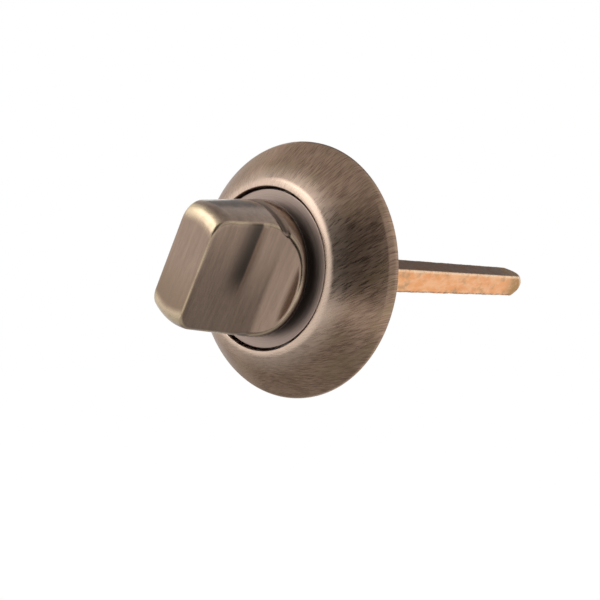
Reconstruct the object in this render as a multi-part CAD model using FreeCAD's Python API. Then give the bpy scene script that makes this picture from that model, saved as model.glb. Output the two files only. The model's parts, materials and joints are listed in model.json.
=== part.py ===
import FreeCAD, Part
import math
import os

# Bathroom thumb turn on a round rose, in millimetres.
# The door face is the plane y = 0. The knob stands out of it along -Y, the spindle runs into it along +Y.
# "out" is the distance from the door face towards the user, so y = -out.

# Rose cover
ROSE_DIAMETER = 53.0
COVER_HOLE_DIAMETER = 32.8
COVER_WALL = 2.0
COVER_SKIRT_WALL = 2.5
COVER_EDGE_LAND = 0.3
COVER_EDGE_ROUNDING = 3.1
COVER_RIM_CORNER_OUT = 10.5
COVER_DOME_BULGE = 0.5
COVER_LIP_ROUNDING = 3.0
COVER_HOLE_EDGE = 0.25

# Mounting base
THREAD_CLEARANCE = 0.1
BASE_FRONT_OUT = 2.3
BASE_RIM_WALL = 1.8
BASE_WEB = 1.3
HUB_DIAMETER = 27.0
POCKET_DIAMETER = 23.0
POCKET_FLOOR_OUT = 4.6
RIB_COUNT = 8
RIB_THICKNESS = 1.2
FIXING_EDGE_DISTANCE = 3.9
FIXING_HOLE_DIAMETER = 3.8
FIXING_HEAD_DIAMETER = 6.6
FIXING_HEAD_DEPTH = 1.4
FIXING_BOSS_DIAMETER = 8.0

# Centre disc
DISC_GAP = 0.4
DISC_FACE_OUT = 9.05
DISC_THICKNESS = 1.2
DISC_EDGE_ROUNDING = 0.25

# Knob
BLADE_LEAN_DEG = 30.0
BLADE_FRONT_THICKNESS = 9.0
BLADE_DRAFT_DEG = 5.0
KNOB_FRONT_OUT = 30.7
BODY_FRONT_DIAMETER = 23.6
BODY_DRAFT_DEG = 5.75
BODY_FRONT_ROUNDING = 3.6
SCOOP_RADIUS = 6.75
SCOOP_FLOOR_OUT = 12.9
BLADE_EDGE_ROUNDING = 0.6
FLANGE_BACK_OUT = 11.25
FLANGE_EDGE_ROUNDING = 0.3
GROOVE_OUT = 15.4
GROOVE_WIDTH = 2.0
GROOVE_DEPTH = 0.55
NECK_DIAMETER = 22.6

# Knob washer, bush and stem
KNOB_WASHER_THICKNESS = 0.9
KNOB_WASHER_DIAMETER = 24.0
STEM_DIAMETER = 11.0
STEM_FLATS_WIDTH = 9.4
STEM_LENGTH_BEHIND_DOOR = 5.0
STEM_END_CHAMFER = 0.4
BUSH_WALL = 1.4
BUSH_FLANGE_DIAMETER = 18.0
BUSH_FLANGE_THICKNESS = 0.8
RUNNING_CLEARANCE = 0.05
SEAT_CLEARANCE = 0.03

# Stop washer and its sector in the base
TURN_TO_UPRIGHT_DEG = 30.0
TURN_TO_LEVEL_DEG = 60.0
STOP_SPARE_DEG = 1.0
STOP_TAB_HALF_DEG = 7.0
STOP_WASHER_DIAMETER = 18.4
STOP_WASHER_THICKNESS = 1.0
STOP_WALL_GAP = 0.4
STOP_TAB_GAP = 0.3
STOP_WALL_HEIGHT = 2.2

# Wave washer, backing washer and retaining ring
WAVE_COUNT = 3
POINTS_PER_WAVE = 4
WAVE_HEIGHT = 0.8
WAVE_SHEET = 0.3
WAVE_INNER_GAP = 0.2
WAVE_WASHER_DIAMETER = 16.6
BACKING_WASHER_DIAMETER = 17.0
BACKING_WASHER_THICKNESS = 0.6
BACKING_WASHER_GAP = 0.1
RING_THICKNESS = 0.9
RING_GROOVE_DEPTH = 0.45
RING_WIDTH = 2.1
RING_OPENING_DEG = 44.0
RING_LUG_DIAMETER = 3.0
RING_LUG_HOLE_DIAMETER = 1.2

# Spindle and its pin
SPINDLE_SQUARE = 6.0
SPINDLE_LENGTH = 104.0
SPINDLE_FRONT_OUT = 10.0
SPINDLE_EDGE_ROUNDING = 0.35
SPINDLE_TIP_TAPER = 2.8
SPINDLE_TIP_DIAMETER = 5.8
SOCKET_CLEARANCE = 0.1
SOCKET_SPARE_DEPTH = 0.5
PIN_DIAMETER = 2.0
PIN_WALL = 0.4
PIN_SLOT = 0.4
PIN_BEHIND_DOOR = 2.6

# Values that follow from the sizes above
ROSE_RADIUS = ROSE_DIAMETER / 2
HOLE_RADIUS = COVER_HOLE_DIAMETER / 2
COVER_BORE_RADIUS = ROSE_RADIUS - COVER_SKIRT_WALL
BASE_RADIUS = COVER_BORE_RADIUS - THREAD_CLEARANCE
FIXING_RADIUS = BASE_RADIUS - FIXING_EDGE_DISTANCE
HUB_RADIUS = HUB_DIAMETER / 2
POCKET_RADIUS = POCKET_DIAMETER / 2
HUB_FRONT_OUT = DISC_FACE_OUT - DISC_THICKNESS
DISC_RADIUS = HOLE_RADIUS - DISC_GAP
BODY_DRAFT = math.radians(BODY_DRAFT_DEG)
BODY_SLOPE = math.tan(BODY_DRAFT)
FLANGE_RADIUS = BODY_FRONT_DIAMETER / 2 + BODY_SLOPE * (KNOB_FRONT_OUT - FLANGE_BACK_OUT)
BLADE_DRAFT = math.radians(BLADE_DRAFT_DEG)
SCOOP_CENTRE_OUT = SCOOP_FLOOR_OUT + SCOOP_RADIUS
KNOB_WASHER_FRONT_OUT = DISC_FACE_OUT + KNOB_WASHER_THICKNESS
NECK_BACK_OUT = KNOB_WASHER_FRONT_OUT + RUNNING_CLEARANCE
STEM_RADIUS = STEM_DIAMETER / 2
BUSH_BORE_RADIUS = STEM_RADIUS + RUNNING_CLEARANCE
BUSH_RADIUS = BUSH_BORE_RADIUS + BUSH_WALL
BUSH_BACK_OUT = POCKET_FLOOR_OUT - BUSH_FLANGE_THICKNESS
STOP_FRONT_OUT = BUSH_BACK_OUT - RUNNING_CLEARANCE
STOP_BACK_OUT = STOP_FRONT_OUT - STOP_WASHER_THICKNESS
WAVE_BACK_OUT = STOP_BACK_OUT - WAVE_HEIGHT
BACKING_BACK_OUT = WAVE_BACK_OUT - BACKING_WASHER_THICKNESS
RING_BACK_OUT = BACKING_BACK_OUT - RING_THICKNESS
RING_INNER_RADIUS = STEM_RADIUS - RING_GROOVE_DEPTH + SEAT_CLEARANCE
SOCKET_SIDE = SPINDLE_SQUARE + 2 * SOCKET_CLEARANCE
REST_TAB_DEG = 90.0 - BLADE_LEAN_DEG

# Directions
OUT = FreeCAD.Vector(0, -1, 0)
ACROSS = FreeCAD.Vector(1, 0, 0)
LEAN = math.radians(BLADE_LEAN_DEG)
BLADE_LONG = FreeCAD.Vector(math.sin(LEAN), 0, math.cos(LEAN))
BLADE_NORMAL = FreeCAD.Vector(math.cos(LEAN), 0, -math.sin(LEAN))


class Outline:
    """A closed outline of lines and arcs, drawn in a plane that holds the knob's axis."""

    def __init__(self, side, across, out):
        self.side = side
        self.edges = []
        self.start = self.place(across, out)
        self.pen = self.start

    def place(self, across, out):
        return self.side * across + OUT * out

    def line(self, across, out):
        end = self.place(across, out)
        self.edges.append(Part.LineSegment(self.pen, end).toShape())
        self.pen = end
        return self

    def arc(self, through, end):
        last = self.place(*end)
        self.edges.append(Part.Arc(self.pen, self.place(*through), last).toShape())
        self.pen = last
        return self

    def face(self):
        self.edges.append(Part.LineSegment(self.pen, self.start).toShape())
        return Part.Face(Part.Wire(self.edges))

    def turned(self):
        return self.face().revolve(FreeCAD.Vector(), OUT, 360)

    def stretched(self, direction, half_length):
        return self.face().translated(direction * -half_length).extrude(direction * (2 * half_length))


def polar(radius, degrees, out):
    """A point at a radius and an angle, counted from +X towards +Z, at a height out of the door."""
    angle = math.radians(degrees)
    return FreeCAD.Vector(radius * math.cos(angle), -out, radius * math.sin(angle))


def rod(radius, back_out, front_out, centre=FreeCAD.Vector()):
    """A cylinder along the knob's axis direction."""
    foot = centre + OUT * back_out
    return Part.makeCylinder(radius, front_out - back_out, foot, OUT)


def ring(inner, outer, back_out, front_out):
    """A flat ring around the knob's axis."""
    return rod(outer, back_out, front_out).cut(rod(inner, back_out, front_out))


def sector(inner, outer, start_deg, end_deg, back_out, front_out):
    """A piece of a ring between two angles."""
    turns = (start_deg, (start_deg + end_deg) / 2, end_deg)
    near = Part.Arc(*[polar(inner, degrees, back_out) for degrees in reversed(turns)])
    far = Part.Arc(*[polar(outer, degrees, back_out) for degrees in turns])
    first = Part.LineSegment(near.EndPoint, far.StartPoint)
    last = Part.LineSegment(far.EndPoint, near.StartPoint)
    wire = Part.Wire([piece.toShape() for piece in (first, far, last, near)])
    return Part.Face(wire).extrude(OUT * (front_out - back_out))


def square_bar(side, back_out, front_out):
    """A square bar on the knob's axis, in line with the blade."""
    half = side / 2
    outline = Outline(BLADE_NORMAL, -half, back_out).line(half, back_out).line(half, front_out)
    return outline.line(-half, front_out).stretched(BLADE_LONG, half)


def edges_between(shape, is_wanted):
    """The edges of a shape whose middle point passes a test."""
    chosen = []
    for edge in shape.Edges:
        middle = edge.valueAt((edge.FirstParameter + edge.LastParameter) / 2)
        if is_wanted(edge, middle):
            chosen.append(edge)
    return chosen


def radius_of(point):
    """Distance of a point from the knob's axis."""
    return math.hypot(point.x, point.z)


class Dome:
    """The outside of the cover: an edge rounding that runs into one shallow arc up to the hole."""

    HALVINGS = 60

    def __init__(self):
        self.edge_start = (ROSE_RADIUS, COVER_EDGE_LAND)
        self.rim = (HOLE_RADIUS, COVER_RIM_CORNER_OUT)
        self.edge_turn = self.find_edge_turn()
        self.edge_end = self.edge_point(self.edge_turn)
        self.set_arc()

    def edge_point(self, turn):
        across = ROSE_RADIUS - COVER_EDGE_ROUNDING * (1 - math.cos(turn))
        return across, COVER_EDGE_LAND + COVER_EDGE_ROUNDING * math.sin(turn)

    def chord(self, turn):
        start = self.edge_point(turn)
        run = start[0] - self.rim[0]
        rise = self.rim[1] - start[1]
        return math.hypot(run, rise), math.atan2(rise, run)

    def find_edge_turn(self):
        """The turn of the edge rounding at which it meets the dome's arc without a crease."""
        low, high = 0.0, math.pi / 2
        for _ in range(self.HALVINGS):
            turn = (low + high) / 2
            length, slope = self.chord(turn)
            arc_slope = slope + 2 * math.atan(2 * COVER_DOME_BULGE / length)
            if math.pi / 2 - turn > arc_slope:
                low = turn
            else:
                high = turn
        return turn

    def set_arc(self):
        length, slope = self.chord(self.edge_turn)
        self.radius = length ** 2 / (8 * COVER_DOME_BULGE) + COVER_DOME_BULGE / 2
        depth = self.radius - COVER_DOME_BULGE
        middle_across = (self.edge_end[0] + self.rim[0]) / 2
        middle_out = (self.edge_end[1] + self.rim[1]) / 2
        self.centre = (middle_across - depth * math.sin(slope), middle_out - depth * math.cos(slope))

    def out_at(self, across, inset=0.0):
        """Height of the arc, moved in by an inset, at a distance from the axis."""
        reach = self.radius - inset
        return self.centre[1] + math.sqrt(reach ** 2 - (across - self.centre[0]) ** 2)

    def lip(self):
        """Centre of the rounding that levels the dome off at the hole, and the point where it begins."""
        across = HOLE_RADIUS + COVER_HOLE_EDGE
        centre = (across, self.out_at(across, COVER_LIP_ROUNDING))
        stretch = self.radius / (self.radius - COVER_LIP_ROUNDING)
        leave = [self.centre[axis] + (centre[axis] - self.centre[axis]) * stretch for axis in (0, 1)]
        return centre, leave

    def across_at(self, out, inset=0.0):
        """Distance from the axis at which the arc, moved in by an inset, reaches a height."""
        reach = self.radius - inset
        return self.centre[0] + math.sqrt(reach ** 2 - (out - self.centre[1]) ** 2)


def rose_cover():
    """A turned shell: the dome outside, an even wall under it and a thicker skirt for the thread."""
    dome = Dome()
    inner_rim_out = dome.out_at(HOLE_RADIUS, COVER_WALL)
    shoulder = dome.across_at(BASE_FRONT_OUT, COVER_WALL)
    inner_middle = (HOLE_RADIUS + shoulder) / 2
    dome_middle = (HOLE_RADIUS + dome.edge_end[0]) / 2
    lip, lip_leave = dome.lip()
    lip_turn = (math.atan2(lip_leave[1] - lip[1], lip_leave[0] - lip[0]) + math.pi / 2) / 2
    lip_across = lip[0] + COVER_LIP_ROUNDING * math.cos(lip_turn)
    lip_out = lip[1] + COVER_LIP_ROUNDING * math.sin(lip_turn)
    lip_top = lip[1] + COVER_LIP_ROUNDING
    edge_middle = COVER_HOLE_EDGE * (1 - math.sqrt(0.5))
    outline = Outline(ACROSS, COVER_BORE_RADIUS, 0).line(ROSE_RADIUS, 0).line(*dome.edge_start)
    outline.arc(dome.edge_point(dome.edge_turn / 2), dome.edge_end)
    outline.arc((dome_middle, dome.out_at(dome_middle)), lip_leave)
    outline.arc((lip_across, lip_out), (lip[0], lip_top))
    outline.arc((HOLE_RADIUS + edge_middle, lip_top - edge_middle), (HOLE_RADIUS, lip_top - COVER_HOLE_EDGE))
    outline.line(HOLE_RADIUS, inner_rim_out)
    outline.arc((inner_middle, dome.out_at(inner_middle, COVER_WALL)), (shoulder, BASE_FRONT_OUT))
    return outline.line(COVER_BORE_RADIUS, BASE_FRONT_OUT).turned()


def fixing_points():
    """Two through bolts on a level line and two wood screws on an upright one."""
    return [polar(FIXING_RADIUS, degrees, 0) for degrees in (0, 90, 180, 270)]


def mounting_base():
    """A casting: dish, hub and ribs, a wall that stops the turn, and four countersunk fixing holes."""
    rim_inner = BASE_RADIUS - BASE_RIM_WALL
    web_back = BASE_FRONT_OUT - BASE_WEB
    outline = Outline(ACROSS, POCKET_RADIUS, 0).line(HUB_RADIUS, 0).line(HUB_RADIUS, web_back)
    outline.line(rim_inner, web_back).line(rim_inner, 0).line(BASE_RADIUS, 0)
    outline.line(BASE_RADIUS, BASE_FRONT_OUT).line(HUB_RADIUS, BASE_FRONT_OUT)
    outline.line(HUB_RADIUS, HUB_FRONT_OUT).line(BUSH_RADIUS, HUB_FRONT_OUT)
    casting = outline.line(BUSH_RADIUS, POCKET_FLOOR_OUT).line(POCKET_RADIUS, POCKET_FLOOR_OUT).turned()
    limit = rod(BASE_RADIUS, 0, BASE_FRONT_OUT)
    bosses = [rod(FIXING_BOSS_DIAMETER / 2, 0, BASE_FRONT_OUT, point) for point in fixing_points()]
    added = [boss.common(limit) for boss in bosses]
    rib_start = HUB_RADIUS - BASE_RIM_WALL / 2
    rib_end = BASE_RADIUS - BASE_RIM_WALL / 2
    for index in range(RIB_COUNT):
        rib = Part.makeBox(rib_end - rib_start, BASE_FRONT_OUT, RIB_THICKNESS)
        rib.translate(FreeCAD.Vector(rib_start, -BASE_FRONT_OUT, -RIB_THICKNESS / 2))
        rib.rotate(FreeCAD.Vector(), OUT, (index + 0.5) * 360 / RIB_COUNT)
        added.append(rib)
    half_opening = STOP_TAB_HALF_DEG + STOP_SPARE_DEG
    wall_start = REST_TAB_DEG + TURN_TO_UPRIGHT_DEG + half_opening
    wall_end = REST_TAB_DEG - TURN_TO_LEVEL_DEG - half_opening + 360
    wall_inner = STOP_WASHER_DIAMETER / 2 + STOP_WALL_GAP
    wall_back = POCKET_FLOOR_OUT - STOP_WALL_HEIGHT
    added.append(sector(wall_inner, HUB_RADIUS, wall_start, wall_end, wall_back, POCKET_FLOOR_OUT))
    casting = casting.fuse(added).removeSplitter()
    removed = []
    for point in fixing_points():
        removed.append(rod(FIXING_HOLE_DIAMETER / 2, 0, BASE_FRONT_OUT, point))
        head_foot = point + OUT * (BASE_FRONT_OUT - FIXING_HEAD_DEPTH)
        small, large = FIXING_HOLE_DIAMETER / 2, FIXING_HEAD_DIAMETER / 2
        removed.append(Part.makeCone(small, large, FIXING_HEAD_DEPTH, head_foot, OUT))
    return casting.cut(removed)


def centre_disc():
    """A plated disc on the hub, just inside the hole of the cover."""
    disc = ring(BUSH_RADIUS, DISC_RADIUS, HUB_FRONT_OUT, DISC_FACE_OUT)
    edge = edges_between(
        disc,
        lambda edge, middle: abs(-middle.y - DISC_FACE_OUT) < SEAT_CLEARANCE
        and abs(radius_of(middle) - DISC_RADIUS) < SEAT_CLEARANCE,
    )
    return disc.makeFillet(DISC_EDGE_ROUNDING, edge)


def stem_bush():
    """A flanged plain bearing for the stem."""
    outline = Outline(ACROSS, BUSH_BORE_RADIUS, BUSH_BACK_OUT).line(BUSH_FLANGE_DIAMETER / 2, BUSH_BACK_OUT)
    outline.line(BUSH_FLANGE_DIAMETER / 2, POCKET_FLOOR_OUT).line(BUSH_RADIUS, POCKET_FLOOR_OUT)
    return outline.line(BUSH_RADIUS, DISC_FACE_OUT).line(BUSH_BORE_RADIUS, DISC_FACE_OUT).turned()


def knob_washer():
    """The dark washer that the knob's neck turns on."""
    return ring(BUSH_BORE_RADIUS, KNOB_WASHER_DIAMETER / 2, DISC_FACE_OUT, KNOB_WASHER_FRONT_OUT)


def body_radius(out):
    """Radius of the knob's drafted body at a height."""
    return BODY_FRONT_DIAMETER / 2 + BODY_SLOPE * (KNOB_FRONT_OUT - out)


def drafted_body():
    """The knob's body from its back edge to its front, as turned."""
    edge_out = FLANGE_BACK_OUT + FLANGE_EDGE_ROUNDING
    edge_across = body_radius(edge_out)
    quarter = FLANGE_EDGE_ROUNDING * math.sqrt(0.5)
    edge_inner = edge_across - FLANGE_EDGE_ROUNDING
    outline = Outline(BLADE_NORMAL, 0, FLANGE_BACK_OUT).line(edge_inner, FLANGE_BACK_OUT)
    outline.arc((edge_inner + quarter, edge_out - quarter), (edge_across, edge_out))
    round_out = KNOB_FRONT_OUT - BODY_FRONT_ROUNDING
    round_across = body_radius(round_out) - BODY_FRONT_ROUNDING / math.cos(BODY_DRAFT)
    points = []
    for turn in (BODY_DRAFT, (BODY_DRAFT + math.pi / 2) / 2, math.pi / 2):
        points.append((round_across + BODY_FRONT_ROUNDING * math.cos(turn),
                       round_out + BODY_FRONT_ROUNDING * math.sin(turn)))
    outline.line(*points[0]).arc(points[1], points[2])
    return outline.line(0, KNOB_FRONT_OUT).turned()


def neck_and_stem():
    """What stands behind the flange: a neck on the washer and a stem through the bush."""
    stem_end = -STEM_LENGTH_BEHIND_DOOR
    outline = Outline(ACROSS, 0, stem_end).line(STEM_RADIUS - STEM_END_CHAMFER, stem_end)
    outline.line(STEM_RADIUS, stem_end + STEM_END_CHAMFER).line(STEM_RADIUS, NECK_BACK_OUT)
    outline.line(NECK_DIAMETER / 2, NECK_BACK_OUT).line(NECK_DIAMETER / 2, FLANGE_BACK_OUT)
    return outline.line(0, FLANGE_BACK_OUT).turned()


def body_groove():
    """The shallow hollow that sets the body off from the flange band behind it."""
    section = (GROOVE_WIDTH ** 2 / 4 + GROOVE_DEPTH ** 2) / (2 * GROOVE_DEPTH)
    centre_line = body_radius(GROOVE_OUT) - GROOVE_DEPTH + section
    return Part.makeTorus(centre_line, section, OUT * GROOVE_OUT, OUT)


def blade_side(out):
    """Half thickness of the blade at a height, between its two drafted sides."""
    return BLADE_FRONT_THICKNESS / 2 + math.tan(BLADE_DRAFT) * (KNOB_FRONT_OUT - out)


def scoop_centre_across():
    """Distance from the axis to the centre of a scoop's arc, which runs smoothly into the blade's side."""
    return blade_side(SCOOP_CENTRE_OUT) + SCOOP_RADIUS / math.cos(BLADE_DRAFT)


def scoop_point(turn):
    """Point of a scoop's arc, as distances from the blade's middle and out of the door."""
    return (scoop_centre_across() - SCOOP_RADIUS * math.cos(turn),
            SCOOP_CENTRE_OUT - SCOOP_RADIUS * math.sin(turn))


def scoop_cutter(side):
    """What is cut from one side of the body to leave the blade and its sweep down to the flange."""
    clear = 2 * FLANGE_RADIUS
    quarter = math.pi / 2
    outline = Outline(side, blade_side(KNOB_FRONT_OUT), KNOB_FRONT_OUT).line(*scoop_point(BLADE_DRAFT))
    outline.arc(scoop_point((BLADE_DRAFT + quarter) / 2), scoop_point(quarter))
    outline.line(clear, SCOOP_FLOOR_OUT).line(clear, KNOB_FRONT_OUT)
    return outline.stretched(BLADE_LONG, clear)


def is_blade_edge(edge, middle):
    """Edges where a scoop leaves the body, without the seams inside the scoop."""
    height = -middle.y
    reach = abs(middle.dot(BLADE_NORMAL))
    if height > scoop_point(BLADE_DRAFT)[1]:
        off_scoop = reach - blade_side(height)
    elif reach < scoop_centre_across():
        off_scoop = math.hypot(reach - scoop_centre_across(), height - SCOOP_CENTRE_OUT) - SCOOP_RADIUS
    else:
        off_scoop = height - SCOOP_FLOOR_OUT
    seam = isinstance(edge.Curve, Part.Line) and height < SCOOP_CENTRE_OUT
    return abs(off_scoop) < SEAT_CLEARANCE and not seam


def pin_hole():
    """The cross hole for the pin, through stem and spindle."""
    start = BLADE_NORMAL * -STEM_DIAMETER - OUT * PIN_BEHIND_DOOR
    return Part.makeCylinder(PIN_DIAMETER / 2 + SEAT_CLEARANCE, 2 * STEM_DIAMETER, start, BLADE_NORMAL)


def stem_flat_cutter(side):
    """One of the two flats that key the stop washer to the stem."""
    half = STEM_FLATS_WIDTH / 2
    stem_end = -STEM_LENGTH_BEHIND_DOOR
    outline = Outline(side, half, stem_end).line(STEM_DIAMETER, stem_end)
    outline.line(STEM_DIAMETER, STOP_FRONT_OUT).line(half, STOP_FRONT_OUT)
    return outline.stretched(BLADE_LONG, STEM_DIAMETER)


def thumb_turn():
    """One casting: a blade between two scoops, on a grooved flange with a keyed stem."""
    knob = drafted_body().cut([scoop_cutter(BLADE_NORMAL), scoop_cutter(BLADE_NORMAL * -1)])
    knob = knob.makeFillet(BLADE_EDGE_ROUNDING, edges_between(knob, is_blade_edge))
    knob = knob.cut(body_groove()).fuse(neck_and_stem())
    groove_back = RING_BACK_OUT - RUNNING_CLEARANCE
    groove_front = BACKING_BACK_OUT + RUNNING_CLEARANCE
    groove = ring(STEM_RADIUS - RING_GROOVE_DEPTH, STEM_DIAMETER, groove_back, groove_front)
    socket = square_bar(SOCKET_SIDE, -STEM_LENGTH_BEHIND_DOOR, SPINDLE_FRONT_OUT + SOCKET_SPARE_DEPTH)
    flats = [stem_flat_cutter(BLADE_NORMAL), stem_flat_cutter(BLADE_NORMAL * -1)]
    return knob.cut([groove, socket, pin_hole()] + flats)


def keyed_hole(back_out, front_out):
    """Hole that fits over the stem and its two flats."""
    round_hole = rod(STEM_RADIUS + RUNNING_CLEARANCE, back_out, front_out)
    half = STEM_FLATS_WIDTH / 2 + RUNNING_CLEARANCE
    between = Outline(BLADE_NORMAL, -half, back_out).line(half, back_out).line(half, front_out)
    return round_hole.common(between.line(-half, front_out).stretched(BLADE_LONG, STEM_DIAMETER))


def stop_washer():
    """A washer keyed to the stem, with the tab that meets the ends of the stop wall."""
    tab_reach = POCKET_RADIUS - STOP_TAB_GAP
    disc = rod(STOP_WASHER_DIAMETER / 2, STOP_BACK_OUT, STOP_FRONT_OUT)
    tab_start = REST_TAB_DEG - STOP_TAB_HALF_DEG
    tab_end = REST_TAB_DEG + STOP_TAB_HALF_DEG
    tab_root = STOP_WASHER_DIAMETER / 2 - STOP_WASHER_THICKNESS
    tab = sector(tab_root, tab_reach, tab_start, tab_end, STOP_BACK_OUT, STOP_FRONT_OUT)
    return disc.fuse(tab).removeSplitter().cut(keyed_hole(STOP_BACK_OUT, STOP_FRONT_OUT))


def wave_line(radius):
    """A closed line that rises and falls around the axis."""
    swing = (WAVE_HEIGHT - WAVE_SHEET) / 2 - SEAT_CLEARANCE
    level = (WAVE_BACK_OUT + STOP_BACK_OUT - WAVE_SHEET) / 2
    points = []
    steps = WAVE_COUNT * POINTS_PER_WAVE
    for index in range(steps):
        degrees = index * 360 / steps
        points.append(polar(radius, degrees, level + swing * math.sin(math.radians(WAVE_COUNT * degrees))))
    curve = Part.BSplineCurve()
    curve.interpolate(points, PeriodicFlag=True)
    return curve.toShape()


def wave_washer():
    """A spring washer that gives the turn its drag."""
    inner = wave_line(STEM_RADIUS + WAVE_INNER_GAP)
    outer = wave_line(WAVE_WASHER_DIAMETER / 2)
    return Part.makeRuledSurface(inner, outer).extrude(OUT * WAVE_SHEET)


def backing_washer():
    """A flat washer between spring and ring."""
    inner = STEM_RADIUS + BACKING_WASHER_GAP
    return ring(inner, BACKING_WASHER_DIAMETER / 2, BACKING_BACK_OUT, WAVE_BACK_OUT)


def retaining_ring():
    """An open spring ring with two eyes beside its gap, opposite the stop tab."""
    middle = REST_TAB_DEG + 180
    outer = RING_INNER_RADIUS + RING_WIDTH
    start = middle + RING_OPENING_DEG / 2
    end = middle - RING_OPENING_DEG / 2 + 360
    clip = sector(RING_INNER_RADIUS, outer, start, end, RING_BACK_OUT, BACKING_BACK_OUT)
    lug_turn = math.degrees(RING_LUG_DIAMETER / 2 / outer)
    for degrees in (start + lug_turn, end - lug_turn):
        centre = polar(outer - RING_LUG_DIAMETER / 4, degrees, 0)
        lug = rod(RING_LUG_DIAMETER / 2, RING_BACK_OUT, BACKING_BACK_OUT, centre)
        eye = rod(RING_LUG_HOLE_DIAMETER / 2, RING_BACK_OUT, BACKING_BACK_OUT, centre)
        clip = clip.fuse(lug).cut(eye)
    return clip.cut(rod(RING_INNER_RADIUS, RING_BACK_OUT, BACKING_BACK_OUT)).removeSplitter()


def spindle():
    """A square bar with turned tips."""
    tail_out = SPINDLE_FRONT_OUT - SPINDLE_LENGTH
    bar = square_bar(SPINDLE_SQUARE, tail_out, SPINDLE_FRONT_OUT)
    long_edges = edges_between(bar, lambda edge, middle: edge.Length > SPINDLE_LENGTH / 2)
    bar = bar.makeFillet(SPINDLE_EDGE_ROUNDING, long_edges)
    corner_reach = SPINDLE_SQUARE * math.sqrt(0.5)
    tip = SPINDLE_TIP_DIAMETER / 2
    shape = Outline(ACROSS, 0, tail_out).line(tip, tail_out)
    shape.line(corner_reach, tail_out + SPINDLE_TIP_TAPER)
    shape.line(corner_reach, SPINDLE_FRONT_OUT - SPINDLE_TIP_TAPER).line(tip, SPINDLE_FRONT_OUT)
    bar = bar.common(shape.line(0, SPINDLE_FRONT_OUT).turned())
    return bar.cut(pin_hole())


def spindle_pin():
    """A slotted spring pin, as long as the stem is wide across its flats."""
    half = STEM_FLATS_WIDTH / 2
    start = BLADE_NORMAL * -half - OUT * PIN_BEHIND_DOOR
    pin = Part.makeCylinder(PIN_DIAMETER / 2, 2 * half, start, BLADE_NORMAL)
    pin = pin.cut(Part.makeCylinder(PIN_DIAMETER / 2 - PIN_WALL, 2 * half, start, BLADE_NORMAL))
    slot = Outline(BLADE_NORMAL, -half, -PIN_BEHIND_DOOR).line(half, -PIN_BEHIND_DOOR)
    slot.line(half, -PIN_BEHIND_DOOR - PIN_DIAMETER).line(-half, -PIN_BEHIND_DOOR - PIN_DIAMETER)
    return pin.cut(slot.stretched(BLADE_LONG, PIN_SLOT / 2))


PIECES = (
    rose_cover,
    mounting_base,
    centre_disc,
    stem_bush,
    knob_washer,
    thumb_turn,
    stop_washer,
    wave_washer,
    backing_washer,
    retaining_ring,
    spindle,
    spindle_pin,
)


def main():
    os.makedirs("parts", exist_ok=True)
    for piece in PIECES:
        shape = piece()
        shape.exportStep("parts/" + piece.__name__ + ".step")
        print(piece.__name__, shape.ShapeType, "solids", len(shape.Solids), "valid", shape.isValid(),
              "volume", round(shape.Volume, 2))


main()
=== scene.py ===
import functools
import json
import logging
import math
from collections.abc import Callable, Sequence
from dataclasses import dataclass
from enum import Enum

import bmesh
import bpy
import numpy as np
from mathutils import Matrix, Vector


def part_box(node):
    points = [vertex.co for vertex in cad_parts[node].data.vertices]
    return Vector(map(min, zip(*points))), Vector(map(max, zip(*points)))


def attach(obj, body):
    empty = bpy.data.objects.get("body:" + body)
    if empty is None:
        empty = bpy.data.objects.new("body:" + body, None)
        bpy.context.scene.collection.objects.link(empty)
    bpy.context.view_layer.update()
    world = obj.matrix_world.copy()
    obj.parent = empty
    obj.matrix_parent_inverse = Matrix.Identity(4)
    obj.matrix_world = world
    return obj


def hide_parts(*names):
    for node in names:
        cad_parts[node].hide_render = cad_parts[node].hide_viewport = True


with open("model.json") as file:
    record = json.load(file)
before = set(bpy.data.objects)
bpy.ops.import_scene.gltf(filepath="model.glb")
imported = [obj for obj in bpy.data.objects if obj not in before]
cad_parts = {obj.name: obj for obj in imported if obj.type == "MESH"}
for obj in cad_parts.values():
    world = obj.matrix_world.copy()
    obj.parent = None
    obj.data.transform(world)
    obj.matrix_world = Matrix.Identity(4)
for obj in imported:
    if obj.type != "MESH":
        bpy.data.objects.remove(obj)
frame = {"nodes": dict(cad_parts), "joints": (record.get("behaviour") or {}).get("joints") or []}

# The lock's lengths are in millimetres and turned to metres where a mesh is made.
# "out" is the distance from the door face towards the user, so y = -out.
# Lamps, boards and the floor are given in metres.
MM = 0.001
SHOWN_RAYS = ("Is Camera Ray", "Is Glossy Ray", "Is Transmission Ray")
WHITE = (1.0, 1.0, 1.0)
BOARD_CORNERS = ((-1, -1), (1, -1), (1, 1), (-1, 1))
# Attribute of rubbed edges; on the knob's rounded front it also carries a painted highlight, and on the
# spindle it places a painted highlight on the upper edges and a painted shadow on the lower ones.
EDGE_WEAR_AND_LIGHT = "edge_wear_and_painted_light"
END_FACE = "end_face"
# Knob attribute of painted shade: creases, the foot of the flange and a painted dark reflection band in each
# scoop.
PAINTED_SHADE = "painted_shade"
STAINED_FACE = "stained_face"

Array = np.ndarray
Object = bpy.types.Object
Material = bpy.types.Material
Socket = bpy.types.NodeSocket
Point = tuple[float, float]
Triple = tuple[float, float, float]
Colour = Triple
Setting = Socket | float | Triple
Field = Callable[[Array, Array, Array], Array]

log = logging.getLogger("thumb_turn_lock")


class Body(Enum):
    """The two bodies of the lock."""

    ROSE = "rose"
    KNOB = "knob"


class Slot(Enum):
    """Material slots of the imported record."""

    DOME = "antique_bronze_dome"
    DISC = "antique_bronze_disc"
    KNOB = "antique_bronze_knob"
    CAST_ZINC = "die_cast_zinc"
    PALE_NYLON = "natural_nylon"
    BLACK_NYLON = "black_nylon"
    ZINC_PLATE = "zinc_plated_steel"
    SPRING = "spring_steel"
    COPPER = "copper_plated_steel"


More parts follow.
